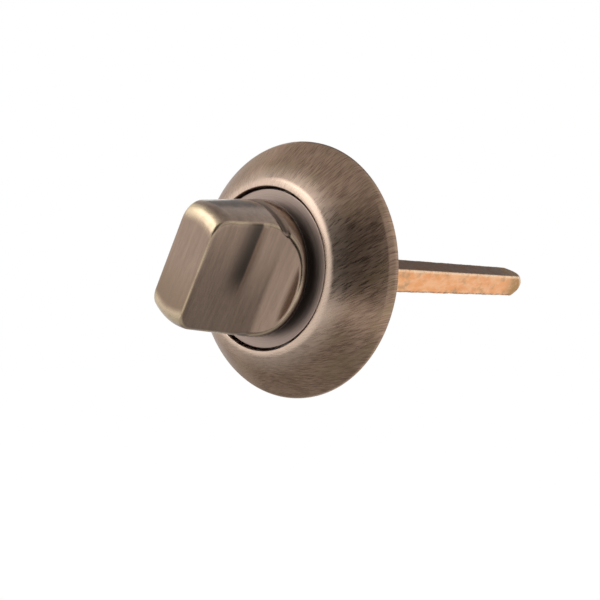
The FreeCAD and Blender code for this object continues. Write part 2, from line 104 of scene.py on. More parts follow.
@dataclass(frozen=True)
class Noise:
    """A noise pattern: its cells for each unit along each axis, its finer layers and their weight."""

    scale: Triple
    detail: float = 3.0
    roughness: float = 0.55


@dataclass(frozen=True)
class Ramp:
    """A smooth change from one share to another while a number goes from low to high."""

    over: Point
    share: Point = (0.0, 1.0)

    def moved(self, distance: float) -> "Ramp":
        """Gives the same change further along."""
        return Ramp((self.over[0] + distance, self.over[1] + distance), self.share)


class Tree:
    """A node tree, with short ways to add what all trees share."""

    def __init__(self, tree: bpy.types.NodeTree) -> None:
        """Takes the tree that the nodes go in."""
        self.nodes = tree.nodes
        self.links = tree.links

    def give(self, socket: Socket, value: Setting) -> None:
        """Links a socket, or sets its value.

        Args:
            socket: Input to fill.
            value: Another node's output, a number, a vector or a colour.
        """
        if isinstance(value, Socket):
            self.links.new(value, socket)
        elif socket.type == "RGBA":
            socket.default_value = (*value, 1.0)
        else:
            socket.default_value = value

    def add(
        self, kind: str, inputs: dict[str | int, Setting] | None = None, **settings: str
    ) -> bpy.types.NodeOutputs:
        """Adds a node.

        Args:
            kind: Blender's name of the node's type.
            inputs: Values or links for its inputs, by name or place.
            settings: Properties of the node itself.

        Returns:
            The outputs of the new node.
        """
        node = self.nodes.new(kind)
        for name, value in settings.items():
            setattr(node, name, value)
        for name, value in (inputs or {}).items():
            self.give(node.inputs[name], value)
        return node.outputs

    def math(self, operation: str, *values: Setting) -> Socket:
        """Works out one number, as a Math node does."""
        return self.add("ShaderNodeMath", dict(enumerate(values)), operation=operation)[0]

    def product(self, first: Setting, second: Setting) -> Socket:
        """Multiplies two numbers."""
        return self.math("MULTIPLY", first, second)

    def folded(self, operation: str, values: Sequence[Socket]) -> Socket:
        """Works one operation through a row of numbers."""
        return functools.reduce(lambda first, second: self.math(operation, first, second), values)

    def parts(self, vector: Socket) -> tuple[Socket, ...]:
        """Splits a vector into its three numbers."""
        return tuple(self.add("ShaderNodeSeparateXYZ", {0: vector}))

    def joined(self, x: Setting, y: Setting, z: Setting) -> Socket:
        """Makes a vector of three numbers."""
        return self.add("ShaderNodeCombineXYZ", {0: x, 1: y, 2: z})[0]

    def shown(self) -> Socket:
        """Gives 1 to rays that show a thing to the camera or in a reflection, and 0 to plain light."""
        path = self.add("ShaderNodeLightPath")
        return self.folded("MAXIMUM", [path[name] for name in SHOWN_RAYS])


class Sheet(Tree):
    """One node material around a Principled shader, with what the finishes share."""

    def __init__(self, name: str, metallic: float = 1.0) -> None:
        """Starts an empty material.

        Args:
            name: Name of the material.
            metallic: 1 for bare or plated metal, 0 for anything else.
        """
        self.material = bpy.data.materials.new(name)
        self.material.use_nodes = True
        super().__init__(self.material.node_tree)
        self.shader = self.nodes["Principled BSDF"]
        self.set(metallic=metallic)

    def place_mm(self, turn_y: float = 0.0) -> Socket:
        """Gives the place on the piece in millimetres, with the pattern turned about the lock's axis."""
        inputs = {"Vector": self.add("ShaderNodeTexCoord")["Object"], "Rotation": (0.0, turn_y, 0.0)}
        return self.add("ShaderNodeMapping", {**inputs, "Scale": (1 / MM, 1 / MM, 1 / MM)})[0]

    def noise(self, place: Socket, noise: Noise) -> Socket:
        """Adds a noise pattern.

        Args:
            place: Where the noise is read.
            noise: The pattern.

        Returns:
            A number about 0.5.
        """
        place = self.add("ShaderNodeVectorMath", {0: place, 1: noise.scale}, operation="MULTIPLY")[0]
        inputs = {"Vector": place, "Scale": 1.0, "Detail": noise.detail, "Roughness": noise.roughness}
        return self.add("ShaderNodeTexNoise", inputs)[0]

    def span(self, value: Socket, ramp: Ramp) -> Socket:
        """Lets a number change with another, and holds the ends."""
        inputs = dict(enumerate((value, *ramp.over, *ramp.share)))
        return self.add("ShaderNodeMapRange", inputs, interpolation_type="SMOOTHSTEP")[0]

    def weighted(self, values: Sequence[Socket], weights: Sequence[float]) -> Socket:
        """Adds up numbers by their weights."""
        return self.folded("ADD", [self.product(*pair) for pair in zip(values, weights)])

    def length(self, first: Socket, second: Socket) -> Socket:
        """Gives the length of the line that has two numbers as its run and rise."""
        squares = [self.math("POWER", side, 2.0) for side in (first, second)]
        return self.math("SQRT", self.math("ADD", *squares))

    def blended(self, factor: Setting, first: Setting, second: Setting) -> Socket:
        """Blends two numbers, from the first at 0 to the second at 1."""
        return self.add("ShaderNodeMix", {0: factor, 2: first, 3: second}, data_type="FLOAT")[0]

    def mixed(self, factor: Setting, first: Setting, second: Setting) -> Socket:
        """Blends two colours, from the first at 0 to the second at 1."""
        return self.add("ShaderNodeMix", {0: factor, 6: first, 7: second}, data_type="RGBA")[2]

    def attribute(self, name: str) -> Socket:
        """Reads a number that the mesh carries at its points."""
        return self.add("ShaderNodeAttribute", attribute_name=name)["Fac"]

    def bump(self, height: Socket, relief: Point) -> None:
        """Lets a height from 0 to 1 roughen the surface, by a distance in millimetres and a strength."""
        inputs = {"Height": height, "Distance": relief[0] * MM, "Strength": relief[1]}
        self.set(normal=self.add("ShaderNodeBump", inputs)[0])

    def set(self, **values: Setting) -> None:
        """Fills the shader's inputs, named with underscores for spaces."""
        for name, value in values.items():
            self.give(self.shader.inputs[name.replace("_", " ").title()], value)

    def glow(self, strength: float) -> Socket:
        """Adds a white glow."""
        return self.add("ShaderNodeEmission", {"Color": WHITE, "Strength": strength})[0]

    def show(self, shader: Socket) -> None:
        """Makes a shader the one that shows."""
        self.links.new(shader, self.nodes["Material Output"].inputs[0])


@dataclass(frozen=True)
class DomeBronze:
    """Antique bronze brushed in a sweep that turns from upright at the top to level at the bottom."""

    hole_radius: float
    dark: Colour = (0.215, 0.132, 0.088)
    light: Colour = (0.425, 0.284, 0.200)
    # Pale colour at the hole's lip: partly rubbed metal, partly a painted highlight.
    lip_wear_and_sheen: Colour = (0.640, 0.490, 0.390)
    olive: Colour = (0.310, 0.222, 0.122)
    graze: Colour = (0.78, 0.66, 0.57)
    hairs: Noise = Noise((66.0, 5.6, 1.0), 1.0, 0.5)
    cross_hairs: Noise = Noise((58.0, 4.6, 1.0), 1.0, 0.5)
    cross_turn: float = 0.22
    depth_share: float = 0.05
    bundles: Noise = Noise((9.0, 1.9, 1.0), 2.0)
    clouds: Noise = Noise((0.12, 0.12, 0.12), 2.0)
    tone_weights: Triple = (0.76, 0.10, 0.14)
    tone: Ramp = Ramp((0.38, 0.62))
    tarnish: Noise = Noise((0.17, 0.17, 0.17))
    tarnished: Ramp = Ramp((0.46, 0.68), (0.0, 0.45))
    lip: Ramp = Ramp((1.0, 5.8), (0.92, 0.0))
    lip_hairs: Ramp = Ramp((0.35, 0.65), (0.70, 1.0))
    roughness: Ramp = Ramp((0.35, 0.65), (0.26, 0.38))
    coat_weight: float = 0.35
    coat_roughness: float = 0.25
    relief: Point = (0.014, 0.5)

    def sweep(self, sheet: Sheet, place: Socket) -> tuple[Socket, Socket]:
        """Gives coordinates across and along the brush strokes, and the distance from the axis.

        Args:
            sheet: Material that the nodes go in.
            place: Place on the piece in millimetres.

        Returns:
            The stroke coordinates and the distance.
        """
        across, depth, height = sheet.parts(place)
        reach = sheet.length(across, height)
        along = sheet.math("SQRT", sheet.product(sheet.math("ADD", reach, height), 0.5))
        gap = sheet.math("MAXIMUM", sheet.math("SUBTRACT", reach, height), 0.0)
        aside = sheet.math("SQRT", sheet.product(gap, 0.5))
        return sheet.joined(aside, along, sheet.product(depth, self.depth_share)), reach

    def strokes(self, sheet: Sheet, sweep: Socket) -> Socket:
        """Lays two crossing sets of short hair scratches.

        Args:
            sheet: Material that the nodes go in.
            sweep: Coordinates across and along the strokes.

        Returns:
            A number about 0.5.
        """
        inputs = {"Vector": sweep, "Angle": self.cross_turn}
        turned = sheet.add("ShaderNodeVectorRotate", inputs, rotation_type="Z_AXIS")[0]
        sets = (sheet.noise(sweep, self.hairs), sheet.noise(turned, self.cross_hairs))
        return sheet.product(sheet.math("ADD", *sets), 0.5)

    def material(self) -> Material:
        """Builds the finish.

        Returns:
            The new material.
        """
        sheet = Sheet("dome_bronze")
        place = sheet.place_mm()
        sweep, reach = self.sweep(sheet, place)
        hairs = self.strokes(sheet, sweep)
        layers = (hairs, sheet.noise(sweep, self.bundles), sheet.noise(place, self.clouds))
        tone = sheet.span(sheet.weighted(layers, self.tone_weights), self.tone)
        colour = sheet.mixed(tone, self.dark, self.light)
        colour = sheet.mixed(sheet.span(sheet.noise(place, self.tarnish), self.tarnished), colour, self.olive)
        # Pale lip near the hole: partly rubbed metal and partly a painted highlight.
        lip = sheet.span(reach, self.lip.moved(self.hole_radius))
        lip = sheet.product(lip, sheet.span(hairs, self.lip_hairs))
        sheet.set(base_color=sheet.mixed(lip, colour, self.lip_wear_and_sheen), roughness=sheet.span(hairs, self.roughness))
        sheet.set(coat_weight=self.coat_weight, coat_roughness=self.coat_roughness, specular_tint=self.graze)
        sheet.bump(hairs, self.relief)
        return sheet.material


@dataclass(frozen=True)
class KnobBronze:
    """Antique bronze brushed along the blade, rubbed to pale brass on the edges, with a painted highlight on
    the rounded front, painted shade in its creases, under the flange and on the lower half of the front, and
    a painted dark reflection in each scoop.
    """

    lean: float
    front_out: float
    dark: Colour = (0.208, 0.141, 0.103)
    light: Colour = (0.338, 0.234, 0.173)
    # Pale brass of rubbed edges, also used as a painted highlight on the rounded front.
    brass_wear_and_sheen: Colour = (0.700, 0.548, 0.358)
    # Colour of the painted shade on the lower half of the front.
    front_shade: Colour = (0.190, 0.124, 0.074)
    # Near-black colour of the painted shade and painted dark reflection on the knob.
    painted_dark_colour: Colour = (0.036, 0.024, 0.015)
    lines: Noise = Noise((18.0, 18.0, 0.55), 3.0, 0.6)
    cloth: Noise = Noise((0.5, 0.5, 0.5), 2.0, 0.5)
    bands: Noise = Noise((1.2, 1.2, 0.09), 2.0)
    tone_weights: Point = (0.6, 0.4)
    tone: Ramp = Ramp((0.24, 0.76))
    front: Ramp = Ramp((0.2, 1.2), (1.0, 0.0))
    front_shade_fall: Ramp = Ramp((-8.0, 2.0), (0.75, 0.0))
    patches: Noise = Noise((0.22, 0.22, 0.22), 2.0)
    specks: Noise = Noise((1.6, 1.6, 1.6))
    rub_weights: Point = (0.8, 0.2)
    rubbed: Ramp = Ramp((0.32, 0.56), (0.55, 1.0))
    roughness: Ramp = Ramp((0.3, 0.7), (0.17, 0.27))
    rubbed_roughness: float = 0.33
    coat_weight: float = 0.5
    coat_roughness: float = 0.18
    relief: Point = (0.02, 0.2)

    def grain(self, sheet: Sheet, place: Socket) -> Socket:
        """Lays the brush lines, a number about 0.5, with a cloudy tone instead on the ends."""
        kinds = (sheet.noise(place, self.lines), sheet.noise(place, self.cloth))
        return sheet.blended(sheet.attribute(END_FACE), *kinds)

    def painted_front_shade(self, sheet: Sheet, place: Socket) -> Socket:
        """Tells how far painted shade browns the lower half of the front.

        Args:
            sheet: Material that the nodes go in.
            place: Place in millimetres, with z along the blade.

        Returns:
            A number from 0 to 1.
        """
        _, depth, height = sheet.parts(place)
        front = sheet.span(depth, self.front.moved(-self.front_out))
        return sheet.product(front, sheet.span(height, self.front_shade_fall))

    def material(self) -> Material:
        """Builds the finish.

        Returns:
            The new material.
        """
        sheet = Sheet("knob_bronze")
        place = sheet.place_mm(-self.lean)
        grain = self.grain(sheet, place)
        tone = sheet.weighted((grain, sheet.noise(place, self.bands)), self.tone_weights)
        colour = sheet.mixed(sheet.span(tone, self.tone), self.dark, self.light)
        # Painted shade: the lower half of the front is browned and darkened.
        colour = sheet.mixed(self.painted_front_shade(sheet, place), colour, self.front_shade)
        marks = (sheet.noise(place, self.patches), sheet.noise(place, self.specks))
        rubbed = sheet.span(sheet.weighted(marks, self.rub_weights), self.rubbed)
        # Rubbed brass on the edges, and a painted highlight on the rounded front.
        wear = sheet.product(sheet.attribute(EDGE_WEAR_AND_LIGHT), rubbed)
        colour = sheet.mixed(wear, colour, self.brass_wear_and_sheen)
        # Painted shade: creases, the flange foot and the scoop bands blend towards the near-black colour.
        sheet.set(base_color=sheet.mixed(sheet.attribute(PAINTED_SHADE), colour, self.painted_dark_colour))
        sheet.set(roughness=sheet.blended(wear, sheet.span(grain, self.roughness), self.rubbed_roughness))
        sheet.set(coat_weight=self.coat_weight, coat_roughness=self.coat_roughness)
        sheet.bump(grain, self.relief)
        return sheet.material


@dataclass(frozen=True)
class DiscBronze:
    """Finely turned antique bronze."""

    dark: Colour = (0.315, 0.240, 0.204)
    light: Colour = (0.420, 0.325, 0.278)
    clouds: Noise = Noise((0.25, 0.25, 0.25), 2.0)
    rings: Noise = Noise((7.0, 1.0, 1.0), 3.0, 0.6)
    tone: Ramp = Ramp((0.3, 0.7))
    roughness: Ramp = Ramp((0.3, 0.7), (0.42, 0.50))
    relief: Point = (0.01, 0.15)

    def material(self) -> Material:
        """Builds the finish.

        Returns:
            The new material.
        """
        sheet = Sheet("disc_bronze")
        place = sheet.place_mm()
        across, depth, height = sheet.parts(place)
        turned = sheet.joined(sheet.length(across, height), depth, sheet.noise(place, self.clouds))
        lines = sheet.noise(turned, self.rings)
        sheet.set(base_color=sheet.mixed(sheet.span(lines, self.tone), self.dark, self.light))
        sheet.set(roughness=sheet.span(lines, self.roughness))
        sheet.bump(lines, self.relief)
        return sheet.material


@dataclass(frozen=True)
class CopperPlate:
    """Thin copper plating, browned on one face and stained in blotches, with pale upper edges that are partly
    wear and partly a painted highlight, and a painted shadow line along the lower edges.
    """

    lean: float
    tail: float
    copper: Colour = (0.820, 0.362, 0.138)
    pale: Colour = (0.870, 0.468, 0.240)
    # Pale colour of the upper edges: partly worn plating, partly a painted highlight.
    arris_wear_and_sheen: Colour = (0.950, 0.700, 0.480)
    stain: Colour = (0.470, 0.325, 0.185)
    olive: Colour = (0.400, 0.222, 0.074)
    browned: Colour = (0.210, 0.105, 0.058)
    # Colour of a painted shadow line along the lower edges.
    scale: Colour = (0.150, 0.085, 0.048)
    clouds: Noise = Noise((0.8, 0.30, 0.8))
    blotches: Noise = Noise((0.46, 0.30, 0.46), 4.0, 0.6)
    specks: Noise = Noise((1.2, 1.2, 1.2), 4.0, 0.65)
    tone: Ramp = Ramp((0.35, 0.65))
    stained: Ramp = Ramp((0.48, 0.72), (0.0, 0.7))
    brown_specks: Ramp = Ramp((0.25, 0.5), (0.7, 0.95))
    near_tail: Ramp = Ramp((-10.0, -3.5))
    tail_specks: Ramp = Ramp((0.3, 0.6), (0.5, 1.0))
    arris_sheen_specks: Ramp = Ramp((0.35, 0.60), (0.25, 1.0))
    upper_edge_sheen: Ramp = Ramp((-1.0, 1.0), (0.0, 0.8))
    lower_edge_shadow: Ramp = Ramp((-1.0, 1.0), (1.0, 0.0))
    lower_shadow_specks: Ramp = Ramp((0.38, 0.58), (0.15, 0.85))
    roughness: Ramp = Ramp((0.35, 0.7), (0.28, 0.46))
    relief: Point = (0.04, 0.35)

    def material(self) -> Material:
        """Builds the finish.

        Returns:
            The new material.
        """
        sheet = Sheet("copper_plate")
        place = sheet.place_mm(-self.lean)
        blotches = sheet.noise(place, self.blotches)
        specks = sheet.noise(place, self.specks)
        colour = sheet.mixed(sheet.span(sheet.noise(place, self.clouds), self.tone), self.copper, self.pale)
        colour = sheet.mixed(sheet.span(blotches, self.stained), colour, self.stain)
        brown = sheet.product(sheet.attribute(STAINED_FACE), sheet.span(specks, self.brown_specks))
        colour = sheet.mixed(brown, colour, self.browned)
        _, depth, upper = sheet.parts(place)
        mottled = sheet.span(depth, self.near_tail.moved(self.tail))
        mottled = sheet.product(mottled, sheet.span(specks, self.tail_specks))
        colour = sheet.mixed(mottled, colour, self.olive)
        wear = sheet.attribute(EDGE_WEAR_AND_LIGHT)
        # Upper edges: partly worn plating, partly a painted highlight.
        upper_sheen = sheet.product(wear, sheet.span(specks, self.arris_sheen_specks))
        upper_sheen = sheet.product(upper_sheen, sheet.span(upper, self.upper_edge_sheen))
        colour = sheet.mixed(upper_sheen, colour, self.arris_wear_and_sheen)
        # Painted shadow line along the lower edges.
        lower_shadow = sheet.product(wear, sheet.span(upper, self.lower_edge_shadow))
        lower_shadow = sheet.product(lower_shadow, sheet.span(specks, self.lower_shadow_specks))
        sheet.set(base_color=sheet.mixed(lower_shadow, colour, self.scale))
        sheet.set(roughness=sheet.span(blotches, self.roughness))
        sheet.bump(specks, self.relief)
        return sheet.material


@dataclass(frozen=True)
class PlainFinish:
    """A plain finish with a cloudy tone and a little grain, bare metal unless told otherwise."""

    name: str
    dark: Colour
    light: Colour
    rough: Point
    metallic: float = 1.0
    clouds: Noise = Noise((0.35, 0.35, 0.35), 4.0, 0.6)
    grain: Noise = Noise((5.0, 5.0, 5.0), 3.0, 0.6)
    tone: Ramp = Ramp((0.3, 0.7))
    relief: Point = (0.03, 0.35)

    def material(self) -> Material:
        """Builds the finish.

        Returns:
            The new material.
        """
        sheet = Sheet(self.name, self.metallic)
        place = sheet.place_mm()
        tone = sheet.span(sheet.noise(place, self.clouds), self.tone)
        grain = sheet.noise(place, self.grain)
        sheet.set(base_color=sheet.mixed(tone, self.dark, self.light))
        sheet.set(roughness=sheet.span(grain, Ramp(self.tone.over, self.rough)))
        sheet.bump(grain, self.relief)
        return sheet.material


@dataclass(frozen=True)
class Nylon(PlainFinish):
    """Moulded nylon with a fine matt skin."""

    rough: Point = (0.45, 0.60)
    metallic: float = 0.0
    clouds: Noise = Noise((0.6, 0.6, 0.6))
    grain: Noise = Noise((9.0, 9.0, 9.0), 2.0)
    relief: Point = (0.01, 0.3)


PLAIN_FINISHES = {
    Slot.CAST_ZINC: PlainFinish("cast_zinc", (0.400, 0.400, 0.405), (0.530, 0.530, 0.525), (0.40, 0.54)),
    Slot.ZINC_PLATE: PlainFinish("zinc_plate", (0.520, 0.520, 0.500), (0.760, 0.755, 0.730), (0.24, 0.38)),
    Slot.SPRING: PlainFinish("spring", (0.110, 0.110, 0.115), (0.260, 0.260, 0.265), (0.28, 0.42)),
    Slot.PALE_NYLON: Nylon("nylon_pale", (0.640, 0.610, 0.540), (0.780, 0.760, 0.700)),
    Slot.BLACK_NYLON: Nylon("nylon_black", (0.010, 0.010, 0.010), (0.022, 0.021, 0.020)),
}


def linked(name: str, data: bpy.types.ID) -> Object:
    """Makes an object and links it to the scene.

    Args:
        name: Name of the object.
        data: Its mesh, lamp or camera.

    Returns:
        The new object.
    """
    made = bpy.data.objects.new(name, data)
    bpy.context.scene.collection.objects.link(made)
    return made


def mesh_object(name: str, points: Array, faces: Array) -> Object:
    """Makes a smooth object of quads, with its place in its mesh.

    Args:
        name: Name of the piece.
        points: Places in metres, one row each.
        faces: Four point numbers for each quad.

    Returns:
        The new object, linked to the scene.
    """
    mesh = bpy.data.meshes.new(name)
    mesh.from_pydata(points.tolist(), [], faces.tolist())
    mesh.validate()
    mesh.shade_smooth()
    return linked(name, mesh)


def board(name: str, place: Triple, facing: Triple, width: float, height: float) -> Object:
    """Makes a flat board.

    Args:
        name: Name of the board.
        place: Its middle.
        facing: Direction that it faces.
        width: Its width.
        height: Its height.

    Returns:
        The new object, linked to the scene.
    """
    turn = Vector(facing).to_track_quat("Z", "Y").to_matrix()
    sides = [Vector((x * width / 2, y * height / 2, 0.0)) for x, y in BOARD_CORNERS]
    corners = np.array([Vector(place) + turn @ side for side in sides])
    return mesh_object(name, corners, np.arange(len(corners))[None])


def face_outwards(mesh: bpy.types.Mesh) -> None:
    """Turns every face of a closed mesh to point outwards.

    Args:
        mesh: Mesh to put right.
    """
    editor = bmesh.new()
    editor.from_mesh(mesh)
    bmesh.ops.recalc_face_normals(editor, faces=editor.faces)
    editor.to_mesh(mesh)
    editor.free()


def carry(piece: Object, name: str, values: Array) -> None:
    """Stores one number at each point of a piece, as an attribute."""
    attribute = piece.data.attributes.new(name, "FLOAT", "POINT")
    attribute.data.foreach_set("value", values.astype(np.float32))


def seat(piece: Object, body: Body, slot: Slot, node: str) -> Object:
    """Puts a finished piece in the frame in place of a CAD node.

    Args:
        piece: Piece that shows.
        body: Body that carries it.
        slot: Not used.
        node: CAD node that it stands for.

    Returns:
        The same piece.
    """
    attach(piece, body.value)
    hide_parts(node)
    return piece


def rounded_max(first: Array, second: Array, radius: Array | float) -> Array:
    """Intersects two fields of signed distances and rounds the edge between them."""
    corner = np.hypot(np.maximum(first + radius, 0), np.maximum(second + radius, 0))
    return np.minimum(np.maximum(first, second), -radius) + corner


def smooth_step(values: Array, low: float, high: float) -> Array:
    """Rises smoothly from 0 at low to 1 at high."""
    share = np.clip((values - low) / (high - low), 0, 1)
    return share * share * (3 - 2 * share)


class FieldSkin:
    """The skin of a solid that is given as a field of signed distances, negative inside."""

    CORNERS = [(x, y, z) for x in (0, 1) for y in (0, 1) for z in (0, 1)]
    ROUND_A_LINE = ((0, 0), (1, 0), (1, 1), (0, 1))
    SETTLE_ROUNDS = 5
    SETTLE_REACH = 1 / 8
    LARGEST_MOVE = 1 / 3
    LEAST_STEEP = 0.2

    def __init__(self, field: Field, low: Sequence[float], high: Sequence[float], step: float) -> None:
        """Samples the field and draws its skin.

        Args:
            field: Signed distance at places given as three arrays.
            low: Lowest corner of the sampled box.
            high: Highest corner of the sampled box.
            step: Distance between samples.
        """
        self.field = field
        self.step = step
        self.low = np.array(low)
        counts = np.ceil((np.array(high) - self.low) / step).astype(int) + 1
        axes = [self.low[axis] + step * np.arange(counts[axis]) for axis in range(3)]
        self.values = field(*np.meshgrid(*axes, indexing="ij"))
        self.cell_number = np.full(counts - 1, -1)
        self.points = self.cell_points()
        self.faces = np.concatenate([self.faces_across(axis) for axis in range(3)])
        self.settle()

    def corner_values(self, corner: tuple[int, ...]) -> Array:
        """Gives the samples at one corner of every cell."""
        ends = [size - 1 + offset for size, offset in zip(self.values.shape, corner)]
        return self.values[corner[0]:ends[0], corner[1]:ends[1], corner[2]:ends[2]]

    def cell_points(self) -> Array:
        """Puts one point in each cell that the skin passes through.

        Returns:
            The points, one row each.
        """
        inside = [self.corner_values(corner) < 0 for corner in self.CORNERS]
        count_inside = sum(part.astype(np.int8) for part in inside)
        cells = np.nonzero((count_inside > 0) & (count_inside < len(self.CORNERS)))
        self.cell_number[cells] = np.arange(len(cells[0]))
        total = np.zeros((len(cells[0]), 3))
        crossings = np.zeros(len(cells[0]))
        for start in self.CORNERS:
            for axis in range(3):
                if start[axis]:
                    continue
                end = tuple(1 if other == axis else start[other] for other in range(3))
                first = self.corner_values(start)[cells]
                last = self.corner_values(end)[cells]
                crossed = (first < 0) != (last < 0)
                share = np.where(crossed, first / np.where(crossed, first - last, 1), 0)
                place = np.tile(np.array(start, float), (len(first), 1))
                place[:, axis] += share
                total += place * crossed[:, None]
                crossings += crossed
        return self.low + self.step * (np.array(cells).T + total / crossings[:, None])

    def faces_across(self, axis: int) -> Array:
        """Makes the quads that cut the sample lines along one axis.

        Args:
            axis: 0, 1 or 2.

        Returns:
            Four point numbers for each quad, in order.
        """
        order = (axis, (axis + 1) % 3, (axis + 2) % 3)
        values = self.values.transpose(order)
        cells = self.cell_number.transpose(order)
        inside = values[:-1, 1:-1, 1:-1] < 0
        inside_next = values[1:, 1:-1, 1:-1] < 0
        i, j, k = np.nonzero(inside != inside_next)
        quads = np.stack([cells[i, j + second, k + third] for second, third in self.ROUND_A_LINE], axis=1)
        leaves = inside[i, j, k]
        quads[~leaves] = quads[~leaves][:, ::-1]
        return quads

    def at(self, points: Array) -> Array:
        """Gives the field at points, one row each."""
        return self.field(points[:, 0], points[:, 1], points[:, 2])

    def slope(self, points: Array, reach: float) -> Array:
        """Measures how the field rises along each axis, between places a reach to either side."""
        rises = [self.at(points + offset) - self.at(points - offset) for offset in reach * np.eye(3)]
        return np.stack(rises, axis=1) / (2 * reach)

    def settle(self) -> None:
        """Moves the points onto the true skin in small steps."""
        largest = self.LARGEST_MOVE * self.step
        for _ in range(self.SETTLE_ROUNDS):
            rise = self.slope(self.points, self.SETTLE_REACH * self.step)
            steep = np.maximum((rise ** 2).sum(axis=1), self.LEAST_STEEP)
            move = np.clip(self.at(self.points) / steep, -largest, largest)
            self.points = self.points - move[:, None] * rise

    def bulge(self, reach: float) -> Array:
        """Measures how sharply the skin turns outwards, about 1 / radius on an edge and 0 on a flat."""
        offsets = [sign * offset for offset in reach * np.eye(3) for sign in (1, -1)]
        return sum(self.at(self.points + offset) - self.at(self.points) for offset in offsets) / reach ** 2


class Lathe(Tree):
    """A Geometry Nodes tree that turns a section round the lock's axis."""

    INPUTS = {
        "Section": "NodeSocketGeometry",
        "Section Points": "NodeSocketInt",
        "Segments": "NodeSocketInt",
        "Crease Angle": "NodeSocketFloat",
        "Merge Distance": "NodeSocketFloat",
        "Material": "NodeSocketMaterial",
    }
    SEGMENTS = 360
    CREASE_ANGLE = math.radians(35)
    MERGE_DISTANCE = 0.0001

    def __init__(self) -> None:
        """Builds the tree with its named inputs."""
        self.group = bpy.data.node_groups.new("turned_section", "GeometryNodeTree")
        super().__init__(self.group)
        ends = self.group.interface
        self.sockets: dict[str, str] = {}
        for name, kind in self.INPUTS.items():
            self.sockets[name] = ends.new_socket(name, in_out="INPUT", socket_type=kind).identifier
        ends.new_socket("Piece", in_out="OUTPUT", socket_type="NodeSocketGeometry")
        self.wire()

    def wire(self) -> None:
        """Lays a grid over section and turn, and puts each of its points where the section says."""
        given = self.add("NodeGroupInput")
        columns = self.math("ADD", given["Segments"], 1)
        inputs = {"Vertices X": columns, "Vertices Y": given["Section Points"]}
        grid = self.add("GeometryNodeMeshGrid", inputs)[0]
        index = self.add("GeometryNodeInputIndex")[0]
        row = self.math("FLOORED_MODULO", index, given["Section Points"])
        column = self.math("FLOOR", self.math("DIVIDE", index, given["Section Points"]))
        place = self.add("GeometryNodeInputPosition")[0]
        inputs = {"Geometry": given["Section"], "Value": place, "Index": row}
        sample = self.add("GeometryNodeSampleIndex", inputs, data_type="FLOAT_VECTOR")[0]
        reach, depth, _ = self.parts(sample)
        angle = self.product(self.math("DIVIDE", column, given["Segments"]), 2 * math.pi)
        x = self.product(reach, self.math("SINE", angle))
        z = self.product(reach, self.math("COSINE", angle))
        inputs = {"Geometry": grid, "Position": self.joined(x, depth, z)}
        skin = self.add("GeometryNodeSetPosition", inputs)[0]
        inputs = {"Geometry": skin, "Distance": given["Merge Distance"]}
        skin = self.add("GeometryNodeMergeByDistance", inputs)[0]
        skin = self.add("GeometryNodeSetShadeSmooth", {"Geometry": skin, "Shade Smooth": True})[0]
        bend = self.add("GeometryNodeInputMeshEdgeAngle")[0]
        sharp = self.math("GREATER_THAN", bend, given["Crease Angle"])
        inputs = {"Geometry": skin, "Selection": sharp, "Shade Smooth": False}
        skin = self.add("GeometryNodeSetShadeSmooth", inputs, domain="EDGE")[0]
        skin = self.add("GeometryNodeRealizeInstances", {"Geometry": skin})[0]
        skin = self.add("GeometryNodeSetMaterial", {"Geometry": skin, "Material": given["Material"]})[0]
        self.add("NodeGroupOutput", {0: skin})

    def turn(self, name: str, section: Sequence[Point], material: Material) -> Object:
        """Turns a closed section into a plain mesh.

        Args:
            name: Name of the piece.
            section: Closed outline as distances from the axis and out of the door.
            material: Finish of the piece.

        Returns:
            The finished piece.
        """
        mesh = bpy.data.meshes.new(name)
        mesh.from_pydata([(reach * MM, -out * MM, 0.0) for reach, out in [*section, section[0]]], [], [])
        piece = linked(name, mesh)
        modifier = piece.modifiers.new("turned", "NODES")
        modifier.node_group = self.group
        modifier[self.sockets["Section Points"]] = len(section) + 1
        modifier[self.sockets["Segments"]] = self.SEGMENTS
        modifier[self.sockets["Crease Angle"]] = self.CREASE_ANGLE
        modifier[self.sockets["Merge Distance"]] = self.MERGE_DISTANCE * MM
        modifier[self.sockets["Material"]] = material
        depsgraph = bpy.context.evaluated_depsgraph_get()
        turned = bpy.data.meshes.new_from_object(piece.evaluated_get(depsgraph))
        piece.modifiers.clear()
        piece.data = turned
        face_outwards(turned)
        return piece


def arc_points(centre: Point, radius: float, start: float, end: float, count: int) -> list[Point]:
    """Gives points along an arc between two angles, counted from the direction away from the axis."""
    turns = np.linspace(start, end, count)
    return [(centre[0] + radius * math.cos(turn), centre[1] + radius * math.sin(turn)) for turn in turns]


def line_points(start: Point, end: Point, spacing: float) -> list[Point]:
    """Gives evenly spaced points after the start of a line and before its end.

    Args:
        start: First end of the line.
        end: Other end.
        spacing: Largest distance between points.

    Returns:
        The points between the ends.
    """
    count = max(1, math.ceil(math.dist(start, end) / spacing))
    run, rise = end[0] - start[0], end[1] - start[1]
    return [(start[0] + run * index / count, start[1] + rise * index / count) for index in range(1, count)]


